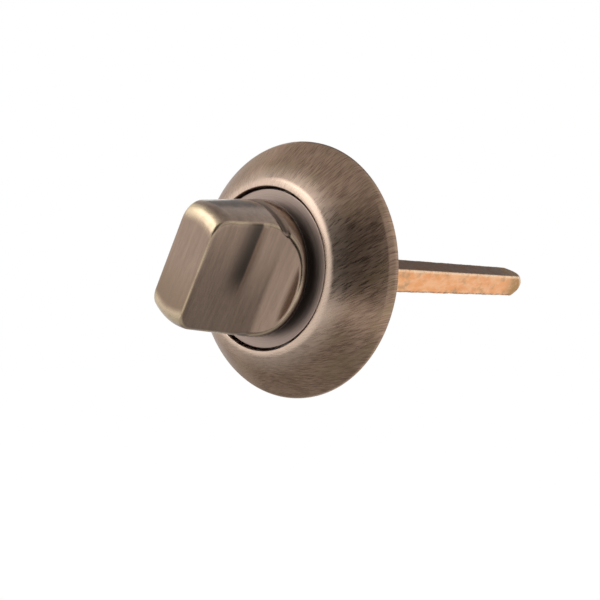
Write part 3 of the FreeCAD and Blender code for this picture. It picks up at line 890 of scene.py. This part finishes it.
@dataclass
class RoseCover:
    """The domed cover, turned from its section."""

    lathe: Lathe
    radius: float
    hole_radius: float = 16.4
    wall: float = 2.0
    skirt_wall: float = 2.5
    edge_land: float = 0.3
    edge_rounding: float = 3.1
    rim_corner_out: float = 10.5
    dome_bulge: float = 0.5
    lip_rounding: float = 3.0
    hole_edge: float = 0.25
    shoulder_out: float = 2.3
    spacing: float = 0.35
    turn_tolerance: float = 1e-9
    edge_points: int = 14
    dome_points: int = 44
    lip_points: int = 14
    hole_edge_points: int = 7
    inner_points: int = 30

    def edge_point(self, turn: float) -> Point:
        """Gives the point of the edge rounding at an angle."""
        across = self.radius - self.edge_rounding * (1 - math.cos(turn))
        return across, self.edge_land + self.edge_rounding * math.sin(turn)

    def chord(self, turn: float) -> Point:
        """Measures the dome's chord from the edge rounding to the hole.

        Args:
            turn: Angle at which the edge rounding ends.

        Returns:
            Length and slope of the chord.
        """
        start = self.edge_point(turn)
        run, rise = start[0] - self.hole_radius, self.rim_corner_out - start[1]
        return math.hypot(run, rise), math.atan2(rise, run)

    def edge_turn(self) -> float:
        """Finds where the edge rounding meets the dome's arc without a crease.

        Returns:
            The angle of the edge rounding there, in radians.
        """
        low, high = 0.0, math.pi / 2
        while high - low > self.turn_tolerance:
            turn = (low + high) / 2
            length, slope = self.chord(turn)
            arc_slope = slope + 2 * math.atan(2 * self.dome_bulge / length)
            if math.pi / 2 - turn > arc_slope:
                low = turn
            else:
                high = turn
        return low

    def section(self) -> list[Point]:
        """Draws the cover's section.

        Returns:
            A closed outline.
        """
        turn = self.edge_turn()
        edge_end = self.edge_point(turn)
        length, slope = self.chord(turn)
        arc = length ** 2 / (8 * self.dome_bulge) + self.dome_bulge / 2
        depth = arc - self.dome_bulge
        middle = ((edge_end[0] + self.hole_radius) / 2, (edge_end[1] + self.rim_corner_out) / 2)
        centre = (middle[0] - depth * math.sin(slope), middle[1] - depth * math.cos(slope))
        lip_across = self.hole_radius + self.hole_edge
        lip_turn = math.acos((lip_across - centre[0]) / (arc - self.lip_rounding))
        lip = (lip_across, centre[1] + (arc - self.lip_rounding) * math.sin(lip_turn))
        inner_arc = arc - self.wall
        inner_rim = math.acos((self.hole_radius - centre[0]) / inner_arc)
        shoulder = math.asin((self.shoulder_out - centre[1]) / inner_arc)
        inside = arc_points(centre, inner_arc, inner_rim, shoulder, self.inner_points)
        foot, heel = (self.radius - self.skirt_wall, 0.0), (self.radius, 0.0)
        outline = [foot, *line_points(foot, heel, self.spacing), heel]
        edge_centre = (self.radius - self.edge_rounding, self.edge_land)
        outline += arc_points(edge_centre, self.edge_rounding, 0.0, turn, self.edge_points)
        outline += arc_points(centre, arc, math.pi / 2 - turn, lip_turn, self.dome_points)[1:]
        outline += arc_points(lip, self.lip_rounding, lip_turn, math.pi / 2, self.lip_points)[1:]
        edge = (lip_across, lip[1] + self.lip_rounding - self.hole_edge)
        outline += arc_points(edge, self.hole_edge, math.pi / 2, math.pi, self.hole_edge_points)[1:]
        outline += line_points(outline[-1], inside[0], self.spacing) + inside
        corner = (foot[0], self.shoulder_out)
        return [*outline, corner, *line_points(corner, foot, self.spacing)]

    def build(self) -> list[Object]:
        """Turns the cover and dresses it."""
        piece = self.lathe.turn("rose_cover_turned", self.section(), DomeBronze(self.hole_radius).material())
        return [seat(piece, Body.ROSE, Slot.DOME, "rose_cover")]


@dataclass
class CentreDisc:
    """The plated disc in the hole of the cover."""

    lathe: Lathe
    radius: float
    face_out: float
    back_out: float
    bore_radius: float = 6.95
    edge_rounding: float = 0.25
    spacing: float = 0.5
    edge_points: int = 8

    def section(self) -> list[Point]:
        """Draws the disc's section.

        Returns:
            A closed outline.
        """
        corner = (self.radius - self.edge_rounding, self.face_out - self.edge_rounding)
        outline = [(self.bore_radius, self.back_out), (self.radius, self.back_out)]
        outline += arc_points(corner, self.edge_rounding, 0.0, math.pi / 2, self.edge_points)
        front = (self.bore_radius, self.face_out)
        return [*outline, *line_points(outline[-1], front, self.spacing), front]

    def build(self) -> list[Object]:
        """Turns the disc and dresses it."""
        piece = self.lathe.turn("centre_disc_turned", self.section(), DiscBronze().material())
        return [seat(piece, Body.ROSE, Slot.DISC, "centre_disc")]


@dataclass
class BladeFrame:
    """Axes in line with the knob's blade: across it, out of the door and along it."""

    lean: float

    def to_metres(self, points: Array) -> Array:
        """Puts points of the blade's axes into the lock's frame.

        Args:
            points: Places in millimetres as across, out and along.

        Returns:
            Places in metres as x, y and z.
        """
        sine, cosine = math.sin(self.lean), math.cos(self.lean)
        across, out, along = points.T
        return np.stack([across * cosine + along * sine, -out, along * cosine - across * sine], axis=1) * MM

    def skinned(
        self, name: str, field: Field, half: float, ends: Point, step: float
    ) -> tuple[Object, FieldSkin]:
        """Makes a piece of a field in line with the blade.

        Args:
            name: Name of the piece.
            field: Signed distance at places across, out and along.
            half: Half the width of the box that holds it.
            ends: Its lowest and highest distance out of the door.
            step: Distance between samples.

        Returns:
            The piece and its skin.
        """
        margin = 2 * step
        low, high = (-half, ends[0] - margin, -half), (half, ends[1] + margin, half)
        skin = FieldSkin(field, low, high, step)
        piece = mesh_object(name, self.to_metres(skin.points), skin.faces)
        face_outwards(piece.data)
        return piece, skin


@dataclass
class ThumbTurn:
    """The scooped knob with its flange, neck and stem, drawn as one field."""

    blade: BladeFrame
    front_out: float
    stem_end_out: float
    front_half_thickness: float = 4.5
    blade_draft: float = math.radians(5.0)
    front_radius: float = 11.8
    body_draft: float = math.radians(5.75)
    front_rounding: float = 3.6
    scoop_radius: float = 6.75
    scoop_floor_out: float = 12.9
    edge_rounding: float = 0.6
    flange_back_out: float = 11.25
    flange_edge: float = 0.3
    groove_out: float = 15.4
    groove_width: float = 2.0
    groove_depth: float = 0.55
    groove_edge: float = 0.12
    neck_radius: float = 11.3
    neck_back_out: float = 10.0
    stem_radius: float = 5.5
    flats_half: float = 4.7
    flats_front_out: float = 3.75
    ring_groove_radius: float = 5.05
    ring_groove: Point = (0.4, 1.4)
    socket_half: float = 3.1
    socket_front_out: float = 10.5
    pin_out: float = -2.6
    pin_radius: float = 1.03
    wear_depth: Point = (0.08, 0.46)
    # Painted shade in creases and grooves, by how sharply the skin turns inwards.
    recess_reach: float = 0.5
    recess_bulge: Point = (0.35, 0.90)
    recess_shade: float = 0.9
    # Rubbed brass on the rounded front, partly real wear and partly a painted highlight.
    rub_and_highlight_from: Point = (math.radians(30), math.radians(52))
    rub_and_highlight_to: Point = (math.radians(60), math.radians(100))
    rub_and_highlight_share: float = 1.2
    # A painted dark reflection band in each scoop, most at one end of it.
    hollow_rise: Point = (19.5, 20.2)
    hollow_fall: Point = (20.7, 25.6)
    hollow_along: Point = (-5.0, 1.5)
    hollow_shade: float = 0.95
    # Painted shade on the foot of the flange, beside the dark gap under it.
    gap_shade_out: Point = (11.7, 12.6)
    gap_shade: float = 0.85
    end_facing: Point = (0.45, 0.85)
    step: float = 0.22

    def body_radius(self, out: Array | float) -> Array | float:
        """Gives the radius of the drafted body at a height."""
        return self.front_radius + math.tan(self.body_draft) * (self.front_out - out)

    def blade_side(self, out: Array | float) -> Array | float:
        """Gives the blade's half thickness at a height."""
        return self.front_half_thickness + math.tan(self.blade_draft) * (self.front_out - out)

    def front_arc(self) -> Point:
        """Gives the centre of the rounding round the front, as distances from the axis and out."""
        arc_out = self.front_out - self.front_rounding
        return self.body_radius(arc_out) - self.front_rounding / math.cos(self.body_draft), arc_out

    def body(self, reach: Array, out: Array) -> Array:
        """Field of the turned body: a drafted side that rounds into a flat front.

        Args:
            reach: Distance from the axis.
            out: Distance out of the door.

        Returns:
            Signed distances.
        """
        arc_reach, arc_out = self.front_arc()
        past, over = reach - arc_reach, out - arc_out
        above_side = over * math.cos(self.body_draft) - past * math.sin(self.body_draft)
        side = (reach - self.body_radius(out)) * math.cos(self.body_draft)
        rounding = np.hypot(past, over) - self.front_rounding
        return np.where((past > 0) & (above_side > 0), rounding, np.maximum(side, out - self.front_out))

    def scoops(self, across: Array, out: Array) -> Array:
        """Field of what the two scoops leave: drafted sides, arcs and the flat above the flange.

        Args:
            across: Distance across the blade.
            out: Distance out of the door.

        Returns:
            Signed distances.
        """
        arc_out = self.scoop_floor_out + self.scoop_radius
        arc_across = self.blade_side(arc_out) + self.scoop_radius / math.cos(self.blade_draft)
        side = np.abs(across)
        past, over = side - arc_across, out - arc_out
        down_side = past * math.sin(self.blade_draft) - over * math.cos(self.blade_draft)
        flat = (side - self.blade_side(out)) * math.cos(self.blade_draft)
        beside = np.where(down_side > 0, self.scoop_radius - np.hypot(past, over), flat)
        return np.where(past >= 0, np.maximum(out - self.scoop_floor_out, beside), beside)

    def head(self, across: Array, out: Array, along: Array) -> Array:
        """Field of the blade and flange.

        Args:
            across, out, along: Places in line with the blade.

        Returns:
            Signed distances.
        """
        reach = np.hypot(across, along)
        skin = rounded_max(self.body(reach, out), self.scoops(across, out), self.edge_rounding)
        section = (self.groove_width ** 2 / 4 + self.groove_depth ** 2) / (2 * self.groove_depth)
        groove_line = self.body_radius(self.groove_out) - self.groove_depth + section
        groove = np.hypot(reach - groove_line, out - self.groove_out) - section
        skin = rounded_max(skin, -groove, self.groove_edge)
        return rounded_max(skin, self.flange_back_out - out, self.flange_edge)

    def stem(self, across: Array, out: Array, along: Array) -> Array:
        """Field of the neck and the keyed stem.

        Args:
            across, out, along: Places in line with the blade.

        Returns:
            Signed distances.
        """
        reach = np.hypot(across, along)
        middle = (self.flange_back_out + self.scoop_floor_out) / 2
        neck = np.maximum(reach - self.neck_radius, np.maximum(out - middle, self.neck_back_out - out))
        stem = np.maximum(reach - self.stem_radius, np.maximum(out - middle, self.stem_end_out - out))
        flats = np.minimum(self.flats_front_out - out, np.abs(across) - self.flats_half)
        stem = np.maximum(stem, flats)
        beside_ring = np.maximum(self.ring_groove[0] - out, out - self.ring_groove[1])
        ring_cut = np.maximum(self.ring_groove_radius - reach, beside_ring)
        return np.minimum(neck, np.maximum(stem, -ring_cut))

    def field(self, across: Array, out: Array, along: Array) -> Array:
        """Field of the whole casting.

        Args:
            across, out, along: Places in line with the blade.

        Returns:
            Signed distances.
        """
        solid = np.minimum(self.head(across, out, along), self.stem(across, out, along))
        square = np.maximum(np.abs(across), np.abs(along)) - self.socket_half
        socket = np.maximum(square, out - self.socket_front_out)
        pin = np.hypot(out - self.pin_out, along) - self.pin_radius
        return np.maximum(solid, np.maximum(-socket, -pin))

    def front_rub_and_highlight(self, reach: Array, out: Array) -> Array:
        """Tells how far the rounded front is rubbed, partly real wear and partly a painted highlight, most
        where it nears the flat of the front.

        Args:
            reach: Distance from the axis.
            out: Distance out of the door.

        Returns:
            One number from 0 to 1 for each point.
        """
        arc_reach, arc_out = self.front_arc()
        turn = np.arctan2(out - arc_out, reach - arc_reach)
        return smooth_step(turn, *self.rub_and_highlight_from) * (1 - smooth_step(turn, *self.rub_and_highlight_to))

    def worn_edges_and_highlight(self, across: Array, out: Array, along: Array) -> Array:
        """Tells how far the edges of the scoops and the rounded front are rubbed; on the rounded front this
        also paints a highlight.

        Args:
            across, out, along: Places in line with the blade.

        Returns:
            One number from 0 to 1 for each point.
        """
        reach = np.hypot(across, along)
        body = self.body(reach, out)
        edges = 1 - smooth_step(-np.minimum(body, self.scoops(across, out)), *self.wear_depth)
        rubbed = self.front_rub_and_highlight(reach, out) * (1 - smooth_step(-body, *self.wear_depth))
        return np.maximum(edges, np.minimum(self.rub_and_highlight_share * rubbed, 1))

    def painted_hollow_reflection(self, across: Array, out: Array, along: Array) -> Array:
        """Tells how far a painted dark reflection darkens the hollow of a scoop, most at one end of it.

        Args:
            across, out, along: Places in line with the blade.

        Returns:
            One number from 0 to 1 for each point.
        """
        band = smooth_step(out, *self.hollow_rise) * (1 - smooth_step(out, *self.hollow_fall))
        band = band * smooth_step(along * np.sign(across), *self.hollow_along)
        on_scoop = 1 - smooth_step(-self.scoops(across, out), *self.wear_depth)
        return self.hollow_shade * band * on_scoop

    def painted_gap_shade(self, out: Array) -> Array:
        """Tells how far painted shade darkens the foot of the flange, beside the gap under it."""
        return self.gap_shade * (1 - smooth_step(out, *self.gap_shade_out))

    def build(self) -> list[Object]:
        """Draws the knob's skin, marks its wear, its painted highlight and its painted shade, and dresses it.

        Returns:
            The one piece.
        """
        room = self.body_radius(self.flange_back_out) + self.edge_rounding
        ends = (self.stem_end_out, self.front_out)
        piece, skin = self.blade.skinned("thumb_turn_cast", self.field, room, ends, self.step)
        across, out, along = skin.points.T
        carry(piece, EDGE_WEAR_AND_LIGHT, self.worn_edges_and_highlight(across, out, along))
        # Painted shade: creases, the foot of the flange and a dark band in each scoop.
        painted_shade = self.recess_shade * smooth_step(-skin.bulge(self.recess_reach), *self.recess_bulge)
        painted_shade = np.maximum(painted_shade, self.painted_gap_shade(out))
        carry(piece, PAINTED_SHADE, np.maximum(painted_shade, self.painted_hollow_reflection(across, out, along)))
        facing = np.abs(skin.slope(skin.points, self.step / 2)[:, 2])
        carry(piece, END_FACE, smooth_step(facing, *self.end_facing))
        piece.data.materials.append(KnobBronze(self.blade.lean, self.front_out).material())
        return [seat(piece, Body.KNOB, Slot.KNOB, "thumb_turn")]


@dataclass
class Spindle:
    """The square bar with turned tips and knocked edges, drawn as one field."""

    blade: BladeFrame
    front_out: float
    tail_out: float
    half: float = 3.0
    edge_rounding: float = 0.35
    tip_taper: float = 2.8
    tip_radius: float = 2.9
    pin_out: float = -2.6
    pin_radius: float = 1.03
    # Each wave has its rates out, across and along, and where it starts.
    knock_waves: tuple[tuple[float, ...], ...] = (
        (0.9, 1.7, 0.0, 0.0),
        (0.37, 0.0, -1.3, 0.8),
        (2.3, 0.0, 2.1, 1.9),
        (1.61, -2.6, 0.0, 0.0),
    )
    knock_weights: Point = (0.6, 0.4)
    knock_share: float = 0.6
    edge_reach: float = 0.5
    edge_bulge: Point = (0.2, 1.2)
    stained_facing: Point = (0.6, 0.9)
    step: float = 0.25

    def knocks(self, across: Array, out: Array, along: Array) -> Array:
        """Gives the unevenness of the drawn and handled bar.

        Args:
            across, out, along: Places in line with the blade.

        Returns:
            Numbers from -1 to 1.
        """
        places = (out, across, along, 1.0)
        waves = [np.sin(sum(rate * place for rate, place in zip(row, places))) for row in self.knock_waves]
        return self.knock_weights[0] * waves[0] * waves[1] + self.knock_weights[1] * waves[2] * waves[3]

    def field(self, across: Array, out: Array, along: Array) -> Array:
        """Field of the bar.

        Args:
            across, out, along: Places in line with the blade.

        Returns:
            Signed distances.
        """
        rounding = self.edge_rounding * (1 + self.knock_share * self.knocks(across, out, along))
        bar = rounded_max(np.abs(across) - self.half, np.abs(along) - self.half, rounding)
        rise = (self.half * math.sqrt(2) - self.tip_radius) / self.tip_taper
        from_tip = np.minimum(self.front_out - out, out - self.tail_out)
        tips = (np.hypot(across, along) - self.tip_radius - rise * from_tip) / math.hypot(1, rise)
        bar = rounded_max(bar, tips, self.edge_rounding)
        bar = rounded_max(bar, -from_tip, self.edge_rounding)
        pin = np.hypot(out - self.pin_out, along) - self.pin_radius
        return np.maximum(bar, -pin)

    def build(self) -> list[Object]:
        """Draws the bar's skin, marks its edges and its browned face, and dresses it.

        Returns:
            The one piece.
        """
        room = self.half + 2 * self.step
        ends = (self.tail_out, self.front_out)
        piece, skin = self.blade.skinned("spindle_bar", self.field, room, ends, self.step)
        # Edge mask: the finish paints the upper edges pale, as wear and a painted highlight, and the lower
        # edges dark, as a painted shadow line.
        carry(piece, EDGE_WEAR_AND_LIGHT, smooth_step(skin.bulge(self.edge_reach), *self.edge_bulge))
        facing = skin.slope(skin.points, self.step)[:, 2]
        carry(piece, STAINED_FACE, smooth_step(facing, *self.stained_facing))
        piece.data.materials.append(CopperPlate(self.blade.lean, -self.tail_out).material())
        return [seat(piece, Body.KNOB, Slot.COPPER, "spindle")]


@dataclass
class InnerWorks:
    """The hidden pieces, which keep their CAD shapes with smooth curves and get their finishes."""

    nodes: dict[str, Object]
    merge_distance: float = 0.001
    crease: float = math.radians(30)
    pieces: tuple[tuple[str, Body, Slot], ...] = (
        ("mounting_base", Body.ROSE, Slot.CAST_ZINC),
        ("stem_bush", Body.ROSE, Slot.PALE_NYLON),
        ("knob_washer", Body.ROSE, Slot.BLACK_NYLON),
        ("stop_washer", Body.KNOB, Slot.ZINC_PLATE),
        ("wave_washer", Body.KNOB, Slot.SPRING),
        ("backing_washer", Body.KNOB, Slot.ZINC_PLATE),
        ("retaining_ring", Body.KNOB, Slot.SPRING),
        ("spindle_pin", Body.KNOB, Slot.SPRING),
    )

    def smoothed(self, name: str) -> Object:
        """Copies a CAD node and smooths its curved faces.

        Args:
            name: Name of the node.

        Returns:
            The copy, linked to the scene.
        """
        mesh = self.nodes[name].data.copy()
        mesh.materials.clear()
        editor = bmesh.new()
        editor.from_mesh(mesh)
        bmesh.ops.remove_doubles(editor, verts=editor.verts, dist=self.merge_distance * MM)
        for face in editor.faces:
            face.smooth = True
        for edge in editor.edges:
            edge.smooth = edge.calc_face_angle(math.pi) < self.crease
        bmesh.ops.recalc_face_normals(editor, faces=editor.faces)
        editor.to_mesh(mesh)
        editor.free()
        return linked(name + "_dressed", mesh)

    def build(self) -> list[Object]:
        """Dresses the pieces.

        Returns:
            The dressed pieces.
        """
        finishes = {slot: finish.material() for slot, finish in PLAIN_FINISHES.items()}
        dressed = []
        for name, body, slot in self.pieces:
            piece = self.smoothed(name)
            piece.data.materials.append(finishes[slot])
            dressed.append(seat(piece, body, slot, name))
        return dressed


@dataclass(frozen=True)
class SoftBox:
    """A soft studio lamp, given by how bright it looks rather than by its power."""

    name: str
    place: Triple
    width: float
    height: float
    brightness: float

    def hang(self, aim: Vector) -> None:
        """Adds the lamp and turns it to a point.

        Args:
            aim: Point that it faces.
        """
        data = bpy.data.lights.new(self.name, "AREA")
        data.shape = "RECTANGLE"
        data.size = self.width
        data.size_y = self.height
        data.energy = self.brightness * math.pi * self.width * self.height
        lamp = linked(self.name, data)
        lamp.location = self.place
        lamp.rotation_euler = (aim - Vector(self.place)).to_track_quat("-Z", "Y").to_euler()


@dataclass(frozen=True)
class Card:
    """A board that only reflections see, as photographers use to shape them."""

    name: str
    place: Triple
    facing: Triple
    width: float
    height: float
    brightness: float

    def stand(self) -> None:
        """Adds the board."""
        card = board(self.name, self.place, self.facing, self.width, self.height)
        sheet = Sheet(self.name, metallic=0.0)
        sheet.show(sheet.glow(self.brightness))
        card.data.materials.append(sheet.material)
        card.visible_camera = False
        card.visible_diffuse = False
        card.visible_shadow = False


@dataclass
class Studio:
    """Camera, lamps, boards, white surroundings and a pale floor."""

    azimuth: float = math.radians(41.0)
    elevation: float = math.radians(-0.8)
    distance: float = 190.5
    aim_right: float = 1.4
    aim_down: float = 6.2
    focal_pixels: float = 918.0
    image_pixels: float = 600.0
    sensor_width: float = 36.0
    nearest: float = 0.01
    lamp_aim: Triple = (0.0, -0.01, 0.0)
    lamps: tuple[SoftBox, ...] = (
        SoftBox("lamp_above", (-0.13, -0.32, 0.40), 0.34, 0.16, 1.6),
        SoftBox("lamp_front_left", (-0.32, -0.37, 0.05), 0.50, 0.45, 0.16),
        SoftBox("lamp_lip", (-0.10, -0.41, 0.25), 0.30, 0.30, 1.1),
    )
    cards: tuple[Card, ...] = (
        Card("card_behind_camera", (0.236, -0.272, 0.05), (-0.656, 0.755, 0.0), 0.30, 0.58, 0.05),
        Card("card_room", (0.42, -0.46, 0.40), (-0.656, 0.755, 0.0), 0.80, 1.00, 0.40),
        Card("card_ceiling", (0.075, -0.05, 0.46), (0.0, 0.0, -1.0), 0.95, 0.80, 0.56),
        Card("card_below", (-0.03, -0.015, -0.12), (0.0, 0.0, 1.0), 0.28, 0.23, 0.42),
        Card("card_floor_left", (-0.34, 0.0, -0.15), (0.0, 0.0, 1.0), 0.34, 0.60, 0.60),
        Card("card_left", (-0.46, 0.10, 0.0), (1.0, 0.0, 0.0), 0.50, 0.80, 0.76),
        Card("card_right", (0.45, 0.05, 0.0), (-1.0, 0.0, 0.0), 0.50, 0.60, 0.60),
        Card("card_behind", (-0.17, 0.42, 0.28), (0.37, -0.80, -0.47), 0.40, 0.32, 0.25),
    )
    room_light: float = 0.8
    floor_place: Triple = (0.0, 0.0, -0.16)
    floor_side: float = 4.0
    floor_colour: Colour = (0.8, 0.8, 0.8)
    floor_roughness: float = 0.9
    floor_glow: float = 1.06
    floor_share: float = 0.85

    def directions(self) -> tuple[Vector, Vector, Vector]:
        """Gives the camera's right, down and forward directions.

        Returns:
            Three unit vectors.
        """
        sine, cosine = math.sin(self.azimuth), math.cos(self.azimuth)
        rise, level = math.sin(self.elevation), math.cos(self.elevation)
        right = Vector((cosine, sine, 0.0))
        forward = Vector((-sine * level, cosine * level, -rise))
        return right, forward.cross(right), forward

    def set_camera(self) -> None:
        """Stands the camera where the photograph was taken from."""
        right, down, forward = self.directions()
        data = bpy.data.cameras.new("camera")
        data.sensor_width = self.sensor_width
        data.lens = self.focal_pixels / self.image_pixels * self.sensor_width
        data.clip_start = self.nearest
        camera = linked("camera", data)
        aim = right * self.aim_right + down * self.aim_down
        turn = Matrix((right, -down, -forward)).transposed().to_4x4()
        camera.matrix_world = Matrix.Translation((aim - forward * self.distance) * MM) @ turn
        bpy.context.scene.camera = camera

    def set_world(self) -> None:
        """Makes the surroundings white to the eye and in reflections, and plain as light."""
        world = bpy.data.worlds.new("white_room")
        world.use_nodes = True
        tree = Tree(world.node_tree)
        tree.nodes.clear()
        light = tree.add("ShaderNodeBackground", {"Color": WHITE, "Strength": self.room_light})[0]
        white = tree.add("ShaderNodeBackground", {"Color": WHITE})[0]
        choice = tree.add("ShaderNodeMixShader", {0: tree.shown(), 1: light, 2: white})[0]
        tree.add("ShaderNodeOutputWorld", {0: choice})
        bpy.context.scene.world = world

    def lay_floor(self) -> None:
        """Lays a pale floor below the lock, which the camera sees as white with a faint shadow."""
        floor = board("floor", self.floor_place, (0.0, 0.0, 1.0), self.floor_side, self.floor_side)
        sheet = Sheet("pale_floor", metallic=0.0)
        sheet.set(base_color=self.floor_colour, roughness=self.floor_roughness)
        share = sheet.product(sheet.shown(), self.floor_share)
        inputs = {0: share, 1: sheet.shader.outputs[0], 2: sheet.glow(self.floor_glow)}
        sheet.show(sheet.add("ShaderNodeMixShader", inputs)[0])
        floor.data.materials.append(sheet.material)

    def build(self) -> None:
        """Sets up everything around the lock."""
        self.set_camera()
        for lamp in self.lamps:
            lamp.hang(Vector(self.lamp_aim))
        for card in self.cards:
            card.stand()
        self.set_world()
        self.lay_floor()
        bpy.context.scene.view_settings.view_transform = "Standard"


def box_mm(node: str) -> tuple[Vector, Vector]:
    """Gives the lowest and highest corner of a CAD node in millimetres."""
    low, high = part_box(node)
    return low / MM, high / MM


def main() -> None:
    """Builds the lock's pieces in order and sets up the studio."""
    logging.basicConfig(level=logging.INFO, format="%(message)s")
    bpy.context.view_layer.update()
    lathe = Lathe()
    blade = BladeFrame(math.radians(frame["joints"][0]["range_deg"][1]))
    _, cover_high = box_mm("rose_cover")
    disc_low, disc_high = box_mm("centre_disc")
    knob_low, knob_high = box_mm("thumb_turn")
    bar_low, bar_high = box_mm("spindle")
    for assembly in (
        RoseCover(lathe, radius=cover_high.x),
        CentreDisc(lathe, radius=disc_high.x, face_out=-disc_low.y, back_out=-disc_high.y),
        ThumbTurn(blade, front_out=-knob_low.y, stem_end_out=-knob_high.y),
        Spindle(blade, front_out=-bar_low.y, tail_out=-bar_high.y),
        InnerWorks(frame["nodes"]),
    ):
        for piece in assembly.build():
            log.info("%s: %d faces", piece.name, len(piece.data.polygons))
    Studio().build()


if __name__ == "__main__":
    main()
